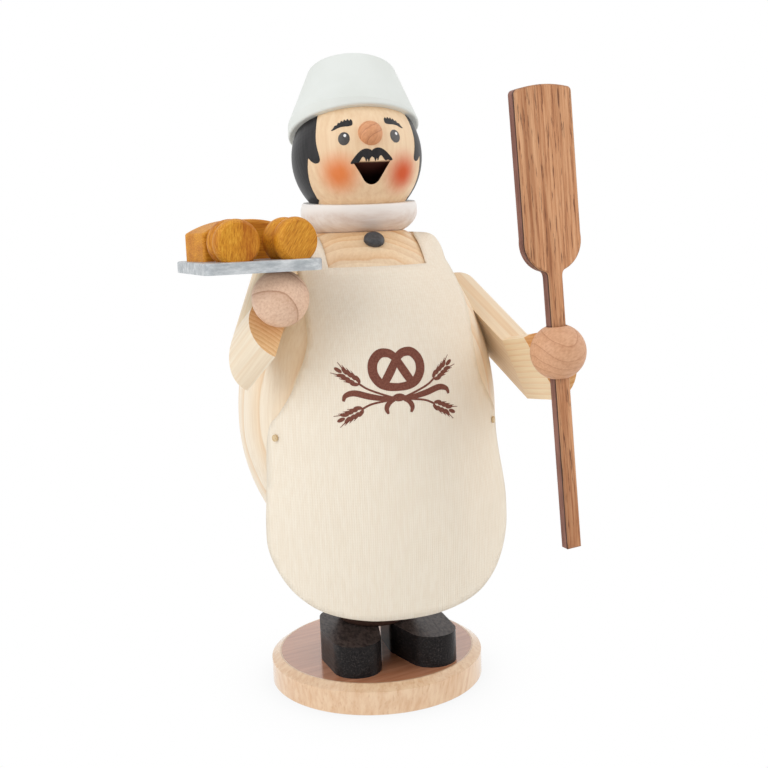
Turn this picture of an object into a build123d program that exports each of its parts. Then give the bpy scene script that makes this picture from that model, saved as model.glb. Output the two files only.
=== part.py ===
# Incense smoker: a turned wooden baker on a round plate. The figure lifts apart above the legs,
# an incense cone burns on the tin plate inside and the smoke leaves through the open mouth.
# Millimetres, +Z up, the figure faces -Y, its right hand is on the -X side.
import os
from math import asin, atan2, cos, degrees, hypot, radians, sin, sqrt, tan

from build123d import *

os.makedirs("parts", exist_ok=True)

# Clearances
sliding_gap = 0.3
cloth_gap = 0.35
glue_gap = 0.05

# Base plate
base_radius = 31.0
base_thickness = 8.0
base_chamfer_width = 2.4
base_chamfer_height = 1.5

# Shoes, drawn as three circles along the sole and joined by tangents
shoe_heel_radius = 7.0
shoe_ball_radius = 8.4
shoe_toe_radius = 6.9
shoe_ball_at = 9.0
shoe_toe_at = 19.0
shoe_heel_height = 9.0
shoe_toe_height = 6.6
shoe_flat_to = 9.5
shoe_instep_share = 0.28
shoe_spread = 9.2
shoe_back = 2.6
right_shoe_turn = 1.0
left_shoe_turn = 10.0

# Dowels that run from the base plate through the shoes into the legs
leg_dowel_radius = 2.5
leg_dowel_spread = 6.0
leg_dowel_in_base = 5.0
leg_dowel_in_legs = 9.0

# Body outline: a cone, a belly curve and an ellipse from the belly to the neck, all turned
foot_radius = 10.5
foot_height = base_thickness + shoe_heel_height
foot_round = 2.0
belly_radius = 36.7
belly_height = 78.5
belly_curve = 52.0
neck_radius = 12.76
neck_above_belly = 51.1
neck_height = belly_height + neck_above_belly
split_below_belly = 34.5
split_height = belly_height - split_below_belly
shoulder_steps = 10

# Hollow of the upper body
chamber_radius = 20.0
chamber_roof_height = 12.0
chamber_below_tube = 6.0
smoke_bore_radius = 4.5
air_hole_radius = 3.5
air_hole_above_split = 10.5

# Spigot on the legs, with the tin plate that carries the incense cone
spigot_height = 5.0
spigot_edge = 0.8
plate_radius = 15.0
plate_thickness = 0.8
plate_rim_height = 2.4
plate_recess_depth = 1.0
nail_radius = 0.7
nail_head_radius = 1.8
nail_head_height = 0.7
nail_length = 9.0

# Neck tube, collar and head
tube_radius = 7.0
tube_in_body = 9.6
tube_above_neck = 8.6
collar_foot_radius = 12.05
collar_radius = 16.3
collar_widest_above_neck = 6.3
collar_lip_radius = 14.6
collar_height = 9.0
collar_cut_above_neck = 8.3
collar_cut_tilt = 4.0
collar_foot_way = (0.9, 0.5)
collar_lip_way = (-1, 0.35)
head_radius = 18.1
head_above_neck = 20.4
head_tilt = 20.0
head_bore_above_centre = 4.0
mouth_half_width = 5.5
mouth_sag = 0.4
mouth_foot_half_width = 2.4
mouth_side_drop = 4.7
mouth_height = 5.9
mouth_drop = 7.4
mouth_deep = 16.6
mouth_taper = 3.0
nose_radius = 3.3
nose_sink = 0.5
nose_drop = 0.8
nose_peg_radius = 1.3
nose_peg_length = 4.0

# Cap, one turned piece glued on a flat across the top of the head
cap_seat = 7.4
cap_side_lean = 4.5
cap_below_seat = 2.0
cap_rim_radius = 18.3
cap_rim_round = 0.6
cap_band_height = 2.0
cap_top_radius = 12.3
cap_top_height = 17.9
cap_top_round = 1.6
cap_height = 20.0
cap_groove_width = 2.8
cap_groove_depth = 1.0

# Coat button
button_radius = 2.8
button_below_neck = 2.4
button_dome = 1.6
button_round = 1.3
button_peg_radius = 1.2
button_peg_length = 4.0

# Arms, mitred from half-round rod and glued on flats milled in the shoulders
arm_width = 18.5
arm_lean = 27.0
arm_seat_depth = 2.5
arm_end_round = 2.5
arm_dowel_radius = 2.5
arm_dowel_in_body = 7.0
arm_dowel_in_arm = 4.5
arm_dowel_share = 0.35
left_elbow_forward = 22.1
left_elbow_down = 22.3
left_upper_angle = 36.0
left_lower_angle = -9.0
left_upper_length = 37.0
left_lower_length = 24.0
right_elbow_forward = 26.8
right_elbow_down = 9.6
right_upper_angle = 50.0
right_lower_angle = -35.0
right_upper_length = 31.0
right_lower_length = 11.5

# Hand balls, each flattened where it is glued to the end of the forearm
hand_radius = 7.0
hand_flat = 0.7
hand_peg_radius = 1.5
hand_peg_in_arm = 6.0
hand_peg_in_hand = 3.0
left_hand_out = 4.0
left_hand_across = -2.5
right_hand_out = 4.3
right_hand_across = -2.8

# Tray with bread
tray_width = 29.0
tray_depth = 29.5
tray_thickness = 2.8
tray_corner = 2.5
tray_edge = 0.5
tray_turn = 9.8
tray_right_of_hand = 6.65
tray_behind_hand = 5.77
tray_flat = 0.25
tray_peg_radius = 1.2
tray_peg_in_tray = 1.8
tray_peg_in_hand = 4.0
roll_radius = 5.65
roll_length = 9.6
roll_end_radius = 4.75
roll_waist_radius = 4.6
roll_sink = 1.35
roll_from_front = 6.8
right_roll_across = -5.8
right_roll_turn = 0.0
left_roll_across = 8.3
left_roll_turn = 12.0
loaf_length = 25.0
loaf_width = 11.0
loaf_height = 9.8
loaf_end_height = 6.7
loaf_round = 0.8
loaf_behind_rolls = 8.7
loaf_turn = 10.0

# Bread peel, cut from one board and pushed through the drilled left hand
peel_thickness = 3.0
peel_turn = 9.0
peel_lean = 3.7
peel_above_hand = 64.7
peel_below_hand = 50.8
blade_width = 15.9
blade_top_rise = 1.1
blade_corner = 1.2
blade_length = 36.0
blade_round_half_width = 6.2
blade_round_drop = 6.2
blade_neck_half_width = 2.9
blade_neck_drop = 8.4
handle_drop = 10.4
handle_width = 4.0
peel_edge = 0.35

# Apron, one piece of stiff cloth with a neck loop
cloth_thickness = 0.6
bib_below_neck = 9.0
strap_inner = 13.4
strap_width = 6.6
strap_overlap = 2.6
strap_side_out = 8.94
strap_side_below_neck = 4.6
strap_side_facing = 33.0
strap_top_out = 6.74
strap_top_below_neck = 2.0
strap_top_facing = 58.0
strap_loop_out = 2.44
strap_loop_below_neck = 1.4
strap_loop_facing = 92.0
bib_corner_side = 20.4
bib_corner_drop = 1.1
bib_chest_inset = 14.7
bib_chest_above_belly = 29.5
bib_waist_inset = 14.1
bib_waist_above_belly = 19.5
bib_hip_inset = 10.5
bib_hip_above_belly = 8.5
apron_side_inset = 4.9
apron_side_above_belly = 1.0
skirt_side = 33.6
skirt_side_height = 54.0
skirt_low_side = 33.1
skirt_low_side_height = 46.0
hem_height = 28.4
hem_corner_side = 18.8
hem_corner_height = 30.6
skirt_below_belly = 3.5
skirt_mid_height = 54.0
skirt_mid_flare = 5.95
skirt_mid_swing = 0.55
skirt_foot_height = 22.0
skirt_foot_flare = 9.95
skirt_foot_swing = -2.45
skirt_reach = 39.0
skirt_corner_way = (-0.1, -1)
pin_from_edge = 1.73
pin_below_belly = 1.3
pin_radius = 0.5
pin_head_radius = 0.9
pin_head_height = 0.5
pin_length = 7.0

# The cone of the legs leaves the foot in the direction that meets the belly curve without a corner
curve_centre = belly_radius - belly_curve
to_centre = hypot(curve_centre - foot_radius, belly_height - foot_height)
cone_slope = atan2(belly_height - foot_height, curve_centre - foot_radius) - asin(belly_curve / to_centre)
cone_length = sqrt(to_centre**2 - belly_curve**2)
cone_end = (foot_radius + cone_length * cos(cone_slope), foot_height + cone_length * sin(cone_slope))
split_radius = foot_radius + (split_height - foot_height) / tan(cone_slope)
shoulder_rise = neck_above_belly / sqrt(1 - (neck_radius / belly_radius) ** 2)
neck_angle = asin(neck_above_belly / shoulder_rise)

# Places that follow the neck, the belly and the split
tube_bottom = neck_height - tube_in_body
chamber_top = tube_bottom - chamber_below_tube
air_hole_height = split_height + air_hole_above_split
head_height = neck_height + head_above_neck
button_height = neck_height - button_below_neck
bib_top = neck_height - bib_below_neck
bib_angle = asin((bib_top - belly_height) / shoulder_rise)
skirt_start = belly_height - skirt_below_belly
pin_height = belly_height - pin_below_belly
apron_side = belly_radius - apron_side_inset


# Radius of the body's shoulder curve at a height above the belly
def shoulder_radius(height):
    return belly_radius * sqrt(1 - ((height - belly_height) / shoulder_rise) ** 2)


# The shoulder curve from the belly to the neck
def shoulder_curve():
    points = []
    for step in range(shoulder_steps + 1):
        angle = neck_angle * step / shoulder_steps
        points.append((belly_radius * cos(angle), belly_height + shoulder_rise * sin(angle)))
    steep = (-belly_radius * sin(neck_angle), shoulder_rise * cos(neck_angle))
    return Spline(*points, tangents=((0, 1), steep))


# The apron's cloth in side view: along the shoulder to the bib's top, then over the straps, which stand off
def cloth_curve(outward):
    points = []
    for step in range(shoulder_steps + 1):
        angle = bib_angle * step / shoulder_steps
        wide = (belly_radius + outward) * cos(angle)
        points.append((wide, belly_height + (shoulder_rise + outward) * sin(angle)))
    for out, below_neck, facing in (
        (strap_side_out, strap_side_below_neck, strap_side_facing),
        (strap_top_out, strap_top_below_neck, strap_top_facing),
        (strap_loop_out, strap_loop_below_neck, strap_loop_facing),
    ):
        wide = neck_radius + out
        height = neck_height - below_neck
        points.append((wide + outward * cos(radians(facing)), height + outward * sin(radians(facing))))
    return Spline(*points, tangents=((0, 1), (-1, 0)))


# Plane square to a direction, with the local X as near to the wish as it can be
def plane_along(origin, direction, wish):
    return Plane(origin=origin, x_dir=wish, z_dir=direction)


# Base plate
leg_dowel_places = [(-leg_dowel_spread, 0), (leg_dowel_spread, 0)]

with BuildPart() as base_plate:
    with BuildSketch(Plane.XZ):
        with BuildLine():
            Polyline(
                (0, 0),
                (base_radius, 0),
                (base_radius, base_thickness - base_chamfer_height),
                (base_radius - base_chamfer_width, base_thickness),
                (0, base_thickness),
                close=True,
            )
        make_face()
    revolve(axis=Axis.Z)
    with BuildSketch(Plane.XY.offset(base_thickness)):
        with Locations(*leg_dowel_places):
            Circle(leg_dowel_radius)
    extrude(amount=-leg_dowel_in_base, mode=Mode.SUBTRACT)

base_plate.part.label = "base_plate"
export_step(base_plate.part, "parts/base_plate.step")


# One shoe: the sole outline pulled up, then cut by its side view with the hollowed instep
def make_shoe(side, turn):
    sole = Plane(
        origin=(side * shoe_spread, shoe_back, base_thickness),
        x_dir=Vector(1, 0, 0).rotate(Axis.Z, turn),
        z_dir=(0, 0, 1),
    )
    flank = Plane(origin=sole.origin, x_dir=-sole.y_dir, z_dir=sole.x_dir)
    with BuildPart() as shoe:
        with BuildSketch(sole):
            with BuildLine():
                CenterArc((0, 0), shoe_heel_radius, 0, 360)
                CenterArc((0, -shoe_ball_at), shoe_ball_radius, 0, 360)
                CenterArc((0, -shoe_toe_at), shoe_toe_radius, 0, 360)
            make_hull()
        extrude(amount=shoe_heel_height)
        tip = shoe_toe_at + shoe_toe_radius
        instep_rise = (shoe_heel_height - shoe_toe_height) * shoe_instep_share
        halfway = ((shoe_flat_to + tip) / 2, shoe_toe_height + instep_rise)
        with BuildSketch(flank):
            with BuildLine():
                instep = ThreePointArc((shoe_flat_to, shoe_heel_height), halfway, (tip, shoe_toe_height))
                Polyline(
                    instep @ 1,
                    (tip + shoe_toe_radius, shoe_toe_height),
                    (tip + shoe_toe_radius, 2 * shoe_heel_height),
                    (shoe_flat_to, 2 * shoe_heel_height),
                    instep @ 0,
                )
            make_face()
        extrude(amount=2 * shoe_ball_radius, both=True, mode=Mode.SUBTRACT)
        with BuildSketch(Plane.XY.offset(base_thickness)):
            with Locations((side * leg_dowel_spread, 0)):
                Circle(leg_dowel_radius)
        extrude(amount=shoe_heel_height, mode=Mode.SUBTRACT)
    return shoe.part


right_shoe = make_shoe(-1, -right_shoe_turn)
right_shoe.label = "right_shoe"
export_step(right_shoe, "parts/right_shoe.step")

left_shoe = make_shoe(1, left_shoe_turn)
left_shoe.label = "left_shoe"
export_step(left_shoe, "parts/left_shoe.step")

with BuildPart() as leg_dowels:
    with BuildSketch(Plane.XY.offset(base_thickness - leg_dowel_in_base)):
        with Locations(*leg_dowel_places):
            Circle(leg_dowel_radius)
    extrude(amount=leg_dowel_in_base + shoe_heel_height + leg_dowel_in_legs)

leg_dowels.part.label = "leg_dowels"
export_step(leg_dowels.part, "parts/leg_dowels.step")

# Legs: a turned cone with the spigot that centres the upper body, and the recess for the tin plate
spigot_radius = chamber_radius - sliding_gap
spigot_top = split_height + spigot_height
plate_floor = spigot_top - plate_recess_depth

with BuildPart() as lower_body:
    with BuildSketch(Plane.XZ):
        with BuildLine():
            Polyline(
                (0, foot_height),
                (foot_radius, foot_height),
                (split_radius, split_height),
                (spigot_radius, split_height),
                (spigot_radius, spigot_top - spigot_edge),
                (spigot_radius - spigot_edge, spigot_top),
                (plate_radius, spigot_top),
                (plate_radius, plate_floor),
                (0, plate_floor),
                close=True,
            )
        make_face()
    revolve(axis=Axis.Z)
    fillet(lower_body.edges().group_by(Axis.Z)[0], radius=foot_round)
    with BuildSketch(Plane.XY.offset(foot_height)):
        with Locations(*leg_dowel_places):
            Circle(leg_dowel_radius)
    extrude(amount=leg_dowel_in_legs, mode=Mode.SUBTRACT)
    with BuildSketch(Plane.XY.offset(plate_floor)):
        Circle(nail_radius)
    extrude(amount=-(nail_length - plate_thickness), mode=Mode.SUBTRACT)

lower_body.part.label = "lower_body"
export_step(lower_body.part, "parts/lower_body.step")

# Incense plate: a pressed tin dish that keeps the ember off the wood, held by one nail
plate_outside = plate_radius - glue_gap
with BuildPart() as incense_plate:
    with BuildSketch(Plane.XZ):
        with BuildLine():
            Polyline(
                (nail_radius, plate_floor),
                (plate_outside, plate_floor),
                (plate_outside, plate_floor + plate_rim_height),
                (plate_outside - plate_thickness, plate_floor + plate_rim_height),
                (plate_outside - plate_thickness, plate_floor + plate_thickness),
                (nail_radius, plate_floor + plate_thickness),
                close=True,
            )
        make_face()
    revolve(axis=Axis.Z)

incense_plate.part.label = "incense_plate"
export_step(incense_plate.part, "parts/incense_plate.step")

nail_seat = plate_floor + plate_thickness
with BuildPart() as plate_nail:
    with BuildSketch(Plane.XY.offset(nail_seat)):
        Circle(nail_head_radius)
    extrude(amount=nail_head_height)
    with BuildSketch(Plane.XY.offset(nail_seat)):
        Circle(nail_radius)
    extrude(amount=-nail_length)

plate_nail.part.label = "plate_nail"
export_step(plate_nail.part, "parts/plate_nail.step")

# Where each arm sits: the middle of the milled flat, its outward direction and the two directions in it
forward = Vector(0, -1, 0)
seat_angle = atan2(shoulder_rise * sin(radians(arm_lean)), belly_radius * cos(radians(arm_lean)))


def arm_outward(side):
    return Vector(side * cos(radians(arm_lean)), 0, sin(radians(arm_lean)))


def arm_downward(side):
    return Vector(side * sin(radians(arm_lean)), 0, -cos(radians(arm_lean)))


def arm_seat(side):
    seat_out = belly_radius * cos(seat_angle)
    seat_height = belly_height + shoulder_rise * sin(seat_angle)
    return Vector(side * seat_out, 0, seat_height) - arm_outward(side) * arm_seat_depth


def in_flat(side, angle):
    return forward * cos(radians(angle)) + arm_downward(side) * sin(radians(angle))


left_elbow = arm_seat(1) + forward * left_elbow_forward + arm_downward(1) * left_elbow_down
right_elbow = arm_seat(-1) + forward * right_elbow_forward + arm_downward(-1) * right_elbow_down

# Each shoulder dowel stands in the glued overlap, between the arm's centre line and the seat's middle
left_along = (arm_seat(1) - left_elbow).dot(in_flat(1, left_upper_angle))
right_along = (arm_seat(-1) - right_elbow).dot(in_flat(-1, right_upper_angle))
left_on_line = left_elbow + in_flat(1, left_upper_angle) * left_along
right_on_line = right_elbow + in_flat(-1, right_upper_angle) * right_along
left_dowel_place = left_on_line + (arm_seat(1) - left_on_line) * arm_dowel_share
right_dowel_place = right_on_line + (arm_seat(-1) - right_on_line) * arm_dowel_share
arm_dowel_planes = [
    plane_along(left_dowel_place, arm_outward(1), forward),
    plane_along(right_dowel_place, arm_outward(-1), forward),
]

# Places of the button and the apron pins on the body
button_outward = shoulder_radius(button_height)
button_slope = atan2(
    button_outward / belly_radius**2,
    (button_height - belly_height) / shoulder_rise**2,
)
button_direction = Vector(0, -sin(button_slope), cos(button_slope))
button_plane = plane_along((0, -button_outward, button_height), button_direction, (1, 0, 0))


def pin_plane(turn, radius):
    outward = Vector(sin(radians(turn)), -cos(radians(turn)), 0)
    return plane_along(outward * radius + Vector(0, 0, pin_height), outward, (0, 0, 1))


cloth_inside = belly_radius + cloth_gap
cloth_outside = cloth_inside + cloth_thickness
pin_turn = degrees(asin((apron_side - pin_from_edge) / cloth_outside))
pin_turns = [-pin_turn, pin_turn]

# Upper body: turned outside, bored from below, with the neck bore, the air hole and the milled arm seats
with BuildPart() as upper_body:
    with BuildSketch(Plane.XZ):
        with BuildLine():
            lower_rim = Line((chamber_radius, split_height), (split_radius, split_height))
            flank = Line(lower_rim @ 1, cone_end)
            belly = TangentArc(flank @ 1, (belly_radius, belly_height), tangent=flank % 1)
            shoulder = shoulder_curve()
            Polyline(
                shoulder @ 1,
                (tube_radius, neck_height),
                (tube_radius, tube_bottom),
                (smoke_bore_radius, tube_bottom),
                (smoke_bore_radius, chamber_top),
                (chamber_radius, chamber_top - chamber_roof_height),
                lower_rim @ 0,
            )
        make_face()
    revolve(axis=Axis.Z)
    for side in (-1, 1):
        with BuildSketch(plane_along(arm_seat(side), arm_outward(side), forward)):
            Rectangle(2 * belly_radius, 2 * belly_radius)
        extrude(amount=belly_radius, mode=Mode.SUBTRACT)
    for dowel_plane in arm_dowel_planes:
        with BuildSketch(dowel_plane):
            Circle(arm_dowel_radius)
        extrude(amount=-arm_dowel_in_body, mode=Mode.SUBTRACT)
    with BuildSketch(plane_along((0, 0, air_hole_height), (0, 1, 0), (1, 0, 0))):
        Circle(air_hole_radius)
    extrude(amount=belly_radius, mode=Mode.SUBTRACT)
    with BuildSketch(button_plane.offset(button_dome)):
        Circle(button_peg_radius)
    extrude(amount=-(button_dome + button_peg_length), mode=Mode.SUBTRACT)
    for turn in pin_turns:
        with BuildSketch(pin_plane(turn, cloth_outside)):
            Circle(pin_radius)
        extrude(amount=-pin_length, mode=Mode.SUBTRACT)

upper_body.part.label = "upper_body"
export_step(upper_body.part, "parts/upper_body.step")

# Neck tube: a drilled dowel that joins body, collar and head and leads the smoke up
with BuildPart() as neck_tube:
    with BuildSketch(Plane.XY.offset(tube_bottom)):
        Circle(tube_radius)
        Circle(smoke_bore_radius, mode=Mode.SUBTRACT)
    extrude(amount=tube_in_body + tube_above_neck)

neck_tube.part.label = "neck_tube"
export_step(neck_tube.part, "parts/neck_tube.step")

# Collar: a turned ring with a hollow top in which the head rests
head_centre = Vector(0, 0, head_height)
collar_top = neck_height + collar_height
collar_cut = Plane((0, 0, neck_height + collar_cut_above_neck)).rotated((collar_cut_tilt, 0, 0))
with BuildPart() as collar:
    with BuildSketch(Plane.XZ):
        with BuildLine():
            under = Line((tube_radius, neck_height), (collar_foot_radius, neck_height))
            roll = Spline(
                under @ 1,
                (collar_radius, neck_height + collar_widest_above_neck),
                (collar_lip_radius, collar_top),
                tangents=(collar_foot_way, collar_lip_way),
            )
            Polyline(roll @ 1, (tube_radius, collar_top), under @ 0)
        make_face()
    revolve(axis=Axis.Z)
    with Locations(head_centre):
        Sphere(head_radius + glue_gap, mode=Mode.SUBTRACT)
    split(bisect_by=collar_cut, keep=Keep.BOTTOM)

collar.part.label = "collar"
export_step(collar.part, "parts/collar.step")

# Head: a ball leaning back, drilled for the neck tube, with the mouth cut through to the smoke bore
tilt = radians(head_tilt)
face_forward = Vector(0, -cos(tilt), sin(tilt))
head_up = Vector(0, sin(tilt), cos(tilt))
cap_plane = plane_along(head_centre + head_up * cap_seat, head_up, (1, 0, 0))
mouth_plane = Plane(
    origin=head_centre + face_forward * head_radius - head_up * mouth_drop,
    x_dir=(1, 0, 0),
    z_dir=face_forward,
)
nose_centre = head_centre + face_forward * (head_radius - nose_sink) - head_up * nose_drop
nose_plane = plane_along(nose_centre, face_forward, (1, 0, 0))

with BuildPart() as head:
    with Locations(head_centre):
        Sphere(head_radius)
    split(bisect_by=cap_plane, keep=Keep.BOTTOM)
    with BuildSketch(Plane.XY.offset(neck_height)):
        Circle(tube_radius)
    extrude(amount=head_above_neck + head_bore_above_centre, mode=Mode.SUBTRACT)
    with BuildSketch(mouth_plane):
        with BuildLine():
            upper_lip = ThreePointArc((-mouth_half_width, 0), (0, -mouth_sag), (mouth_half_width, 0))
            left_side = Line(upper_lip @ 1, (mouth_foot_half_width, -mouth_side_drop))
            right_side = Line(upper_lip @ 0, (-mouth_foot_half_width, -mouth_side_drop))
            ThreePointArc(left_side @ 1, (0, -mouth_height), right_side @ 1)
        make_face()
    extrude(amount=-mouth_deep, taper=mouth_taper, mode=Mode.SUBTRACT)
    with Locations(nose_centre):
        Sphere(nose_radius, mode=Mode.SUBTRACT)
    with BuildSketch(nose_plane):
        Circle(nose_peg_radius)
    extrude(amount=-(nose_radius + nose_peg_length), mode=Mode.SUBTRACT)

head.part.label = "head"
export_step(head.part, "parts/head.step")

with BuildPart() as nose:
    with Locations(nose_centre):
        Sphere(nose_radius)
    with BuildSketch(nose_plane):
        Circle(nose_peg_radius)
    extrude(amount=-(nose_radius + nose_peg_length))

nose.part.label = "nose"
export_step(nose.part, "parts/nose.step")

# Cap: turned, with a straight wall and a domed crown creased from front to back. It is sawn off a little
# askew below, so it leans to the figure's left
cap_lean = radians(cap_side_lean)
cap_up = head_up * cos(cap_lean) + Vector(1, 0, 0) * sin(cap_lean)
cap_across = Vector(1, 0, 0) * cos(cap_lean) - head_up * sin(cap_lean)
cap_side_plane = Plane(origin=cap_plane.origin, x_dir=cap_across, z_dir=face_forward)
with BuildPart() as cap:
    with BuildSketch(cap_side_plane) as cap_outline:
        with BuildLine():
            wall = Polyline(
                (0, -cap_below_seat),
                (cap_rim_radius, -cap_below_seat),
                (cap_rim_radius, cap_band_height),
                (cap_top_radius, cap_top_height),
            )
            crown = TangentArc((0, cap_height), (cap_top_radius, cap_top_height), tangent=(1, 0))
            Line(crown @ 0, wall @ 0)
        make_face()
        fillet(cap_outline.vertices().sort_by_distance(crown @ 1)[0], radius=cap_top_round)
    revolve(axis=Axis(cap_plane.origin, cap_up))
    split(bisect_by=cap_plane, keep=Keep.TOP)
    fillet(cap.faces().sort_by(Axis(cap_plane.origin, head_up))[0].edges(), radius=cap_rim_round)
    with BuildSketch(cap_side_plane):
        with BuildLine():
            Polyline(
                (0, cap_height - cap_groove_depth),
                (cap_groove_width, cap_height + cap_groove_depth),
                (-cap_groove_width, cap_height + cap_groove_depth),
                close=True,
            )
        make_face()
    extrude(amount=cap_rim_radius, both=True, mode=Mode.SUBTRACT)

cap.part.label = "cap"
export_step(cap.part, "parts/cap.step")

# Button: a turned mushroom, its peg glued in the chest
with BuildPart() as button:
    with BuildSketch(button_plane.offset(glue_gap)):
        Circle(button_radius)
    extrude(amount=button_dome)
    fillet(button.edges().sort_by(Axis(button_plane.origin, button_direction))[-1], radius=button_round)
    with BuildSketch(button_plane.offset(glue_gap)):
        Circle(button_peg_radius)
    extrude(amount=-button_peg_length)

button.part.label = "button"
export_step(button.part, "parts/button.step")

# Apron: the bib follows the chest, the straps stand off the shoulders, and the skirt hangs free and
# flattens out below the belly
hem_slack = 2 * belly_radius


def skirt_section(height, flare, swing):
    radius = cloth_inside + flare
    centre = flare - swing
    half = asin(min(1, skirt_reach / radius))
    with BuildSketch(Plane.XY.offset(height)) as section:
        with BuildLine():
            inner = CenterArc((0, centre), radius, 270 - degrees(half), 2 * degrees(half))
            outer = CenterArc((0, centre), radius + cloth_thickness, 270 - degrees(half), 2 * degrees(half))
            Line(inner @ 0, outer @ 0)
            Line(inner @ 1, outer @ 1)
        make_face()
    return section.sketch


with BuildSketch(Plane.XZ) as apron_outline:
    with BuildLine():
        top_edge = Line((0, bib_top), (strap_inner + strap_width, bib_top))
        side_edge = Spline(
            top_edge @ 1,
            (bib_corner_side, bib_top - bib_corner_drop),
            (belly_radius - bib_chest_inset, belly_height + bib_chest_above_belly),
            (belly_radius - bib_waist_inset, belly_height + bib_waist_above_belly),
            (belly_radius - bib_hip_inset, belly_height + bib_hip_above_belly),
            (apron_side, belly_height + apron_side_above_belly),
        )
        skirt_edge = Line(side_edge @ 1, (skirt_side, skirt_side_height))
        low_edge = Line(skirt_edge @ 1, (skirt_low_side, skirt_low_side_height))
        corner = Spline(
            low_edge @ 1,
            (hem_corner_side, hem_corner_height),
            (0, hem_height),
            tangents=(skirt_corner_way, (-1, 0)),
        )
        Line(corner @ 1, top_edge @ 0)
    make_face()
    mirror(about=Plane.YZ)

with BuildPart() as skirt:
    add(skirt_section(skirt_start, 0, 0))
    add(skirt_section(skirt_mid_height, skirt_mid_flare, skirt_mid_swing))
    add(skirt_section(skirt_foot_height, skirt_foot_flare, skirt_foot_swing))
    loft()
    extrude(apron_outline.sketch, amount=hem_slack, mode=Mode.INTERSECT)

with BuildPart() as bib:
    with BuildSketch(Plane.XZ):
        with BuildLine():
            inner_wall = cloth_curve(cloth_gap)
            outer_wall = cloth_curve(cloth_gap + cloth_thickness)
            Line(inner_wall @ 1, outer_wall @ 1)
            Polyline(
                inner_wall @ 0,
                (cloth_inside, skirt_start),
                (cloth_outside, skirt_start),
                outer_wall @ 0,
            )
        make_face()
    revolve(axis=Axis.Z)

with BuildPart() as bib_reach:
    extrude(apron_outline.sketch, amount=hem_slack)

strap_outer = strap_inner + strap_width
with BuildPart() as strap_reach:
    with BuildSketch(Plane.XY.offset(bib_top - strap_overlap)):
        with Locations((-strap_inner - strap_width / 2, 0), (strap_inner + strap_width / 2, 0)):
            Rectangle(strap_width, hem_slack, align=(Align.CENTER, Align.MAX))
        with BuildSketch(mode=Mode.PRIVATE) as back_half:
            Rectangle(hem_slack, hem_slack, align=(Align.CENTER, Align.MIN))
        with BuildSketch(mode=Mode.PRIVATE) as neck_loop:
            Circle(strap_outer)
            Circle(strap_inner, mode=Mode.SUBTRACT)
            add(back_half.sketch, mode=Mode.INTERSECT)
        add(neck_loop.sketch)
    extrude(amount=neck_height)

with BuildPart() as apron:
    add(bib.part)
    add(bib_reach.part + strap_reach.part, mode=Mode.INTERSECT)
    add(skirt.part)
    for turn in pin_turns:
        with BuildSketch(pin_plane(turn, cloth_outside)):
            Circle(pin_radius)
        extrude(amount=2 * cloth_thickness, both=True, mode=Mode.SUBTRACT)

apron.part.label = "apron"
export_step(apron.part, "parts/apron.step")

# Apron pins: two small round-headed pins at the hips
with BuildPart() as apron_pins:
    for turn in pin_turns:
        with BuildSketch(pin_plane(turn, cloth_outside)):
            Circle(pin_radius)
        extrude(amount=-pin_length)
        with BuildSketch(pin_plane(turn, cloth_outside + glue_gap)):
            Circle(pin_head_radius)
        extrude(amount=pin_head_height)
        with BuildSketch(pin_plane(turn, cloth_outside)):
            Circle(pin_radius)
        extrude(amount=pin_head_height)

apron_pins.part.label = "apron_pins"
export_step(apron_pins.part, "parts/apron_pins.step")


# A length of half-round rod, flat side inward, cut on the elbow's mitre
def make_rod(start, direction, side, length, mitre, keep):
    rod_plane = Plane(origin=start, x_dir=arm_outward(side).cross(direction), z_dir=direction)
    half = arm_width / 2
    with BuildPart() as rod:
        with BuildSketch(rod_plane):
            with BuildLine():
                flat = Line((-half, 0), (half, 0))
                ThreePointArc(flat @ 1, (0, half), flat @ 0)
            make_face()
        extrude(amount=length)
        split(bisect_by=mitre, keep=keep)
    return rod.part


# One arm: upper arm and forearm, with the holes for the shoulder dowel and the hand peg. The shoulder end is
# cut off level where something lies over it
def make_arm(side, elbow, upper_angle, lower_angle, upper_length, lower_length, dowel_plane, peg_place, top):
    upper_way = in_flat(side, upper_angle)
    lower_way = in_flat(side, lower_angle)
    mitre = Plane(origin=elbow, x_dir=arm_outward(side), z_dir=(upper_way + lower_way).normalized())
    shoulder_end = elbow - upper_way * upper_length
    wrist_end = elbow + lower_way * lower_length
    upper_rod = make_rod(shoulder_end, upper_way, side, upper_length + arm_width, mitre, Keep.BOTTOM)
    lower_rod = make_rod(wrist_end, -lower_way, side, lower_length + arm_width, mitre, Keep.TOP)
    with BuildPart() as upper:
        add(upper_rod)
        end_arc = upper.edges().filter_by(GeomType.CIRCLE).sort_by_distance(shoulder_end)[0]
        fillet(end_arc, radius=arm_end_round)
        split(bisect_by=Plane.XY.offset(top), keep=Keep.BOTTOM)
        with BuildSketch(dowel_plane):
            Circle(arm_dowel_radius)
        extrude(amount=arm_dowel_in_arm, mode=Mode.SUBTRACT)
    with BuildPart() as lower:
        add(lower_rod)
        with BuildSketch(plane_along(peg_place, lower_way, arm_outward(side))):
            Circle(hand_peg_radius)
        extrude(amount=-hand_peg_in_arm, mode=Mode.SUBTRACT)
    return upper.part, lower.part


# Where a hand peg leaves the end of its forearm; across runs over the width of the forearm
def hand_place(side, elbow, lower_angle, lower_length, out, across):
    lower_way = in_flat(side, lower_angle)
    width_way = in_flat(side, lower_angle + 90)
    return elbow + lower_way * lower_length + arm_outward(side) * out + width_way * across


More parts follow.
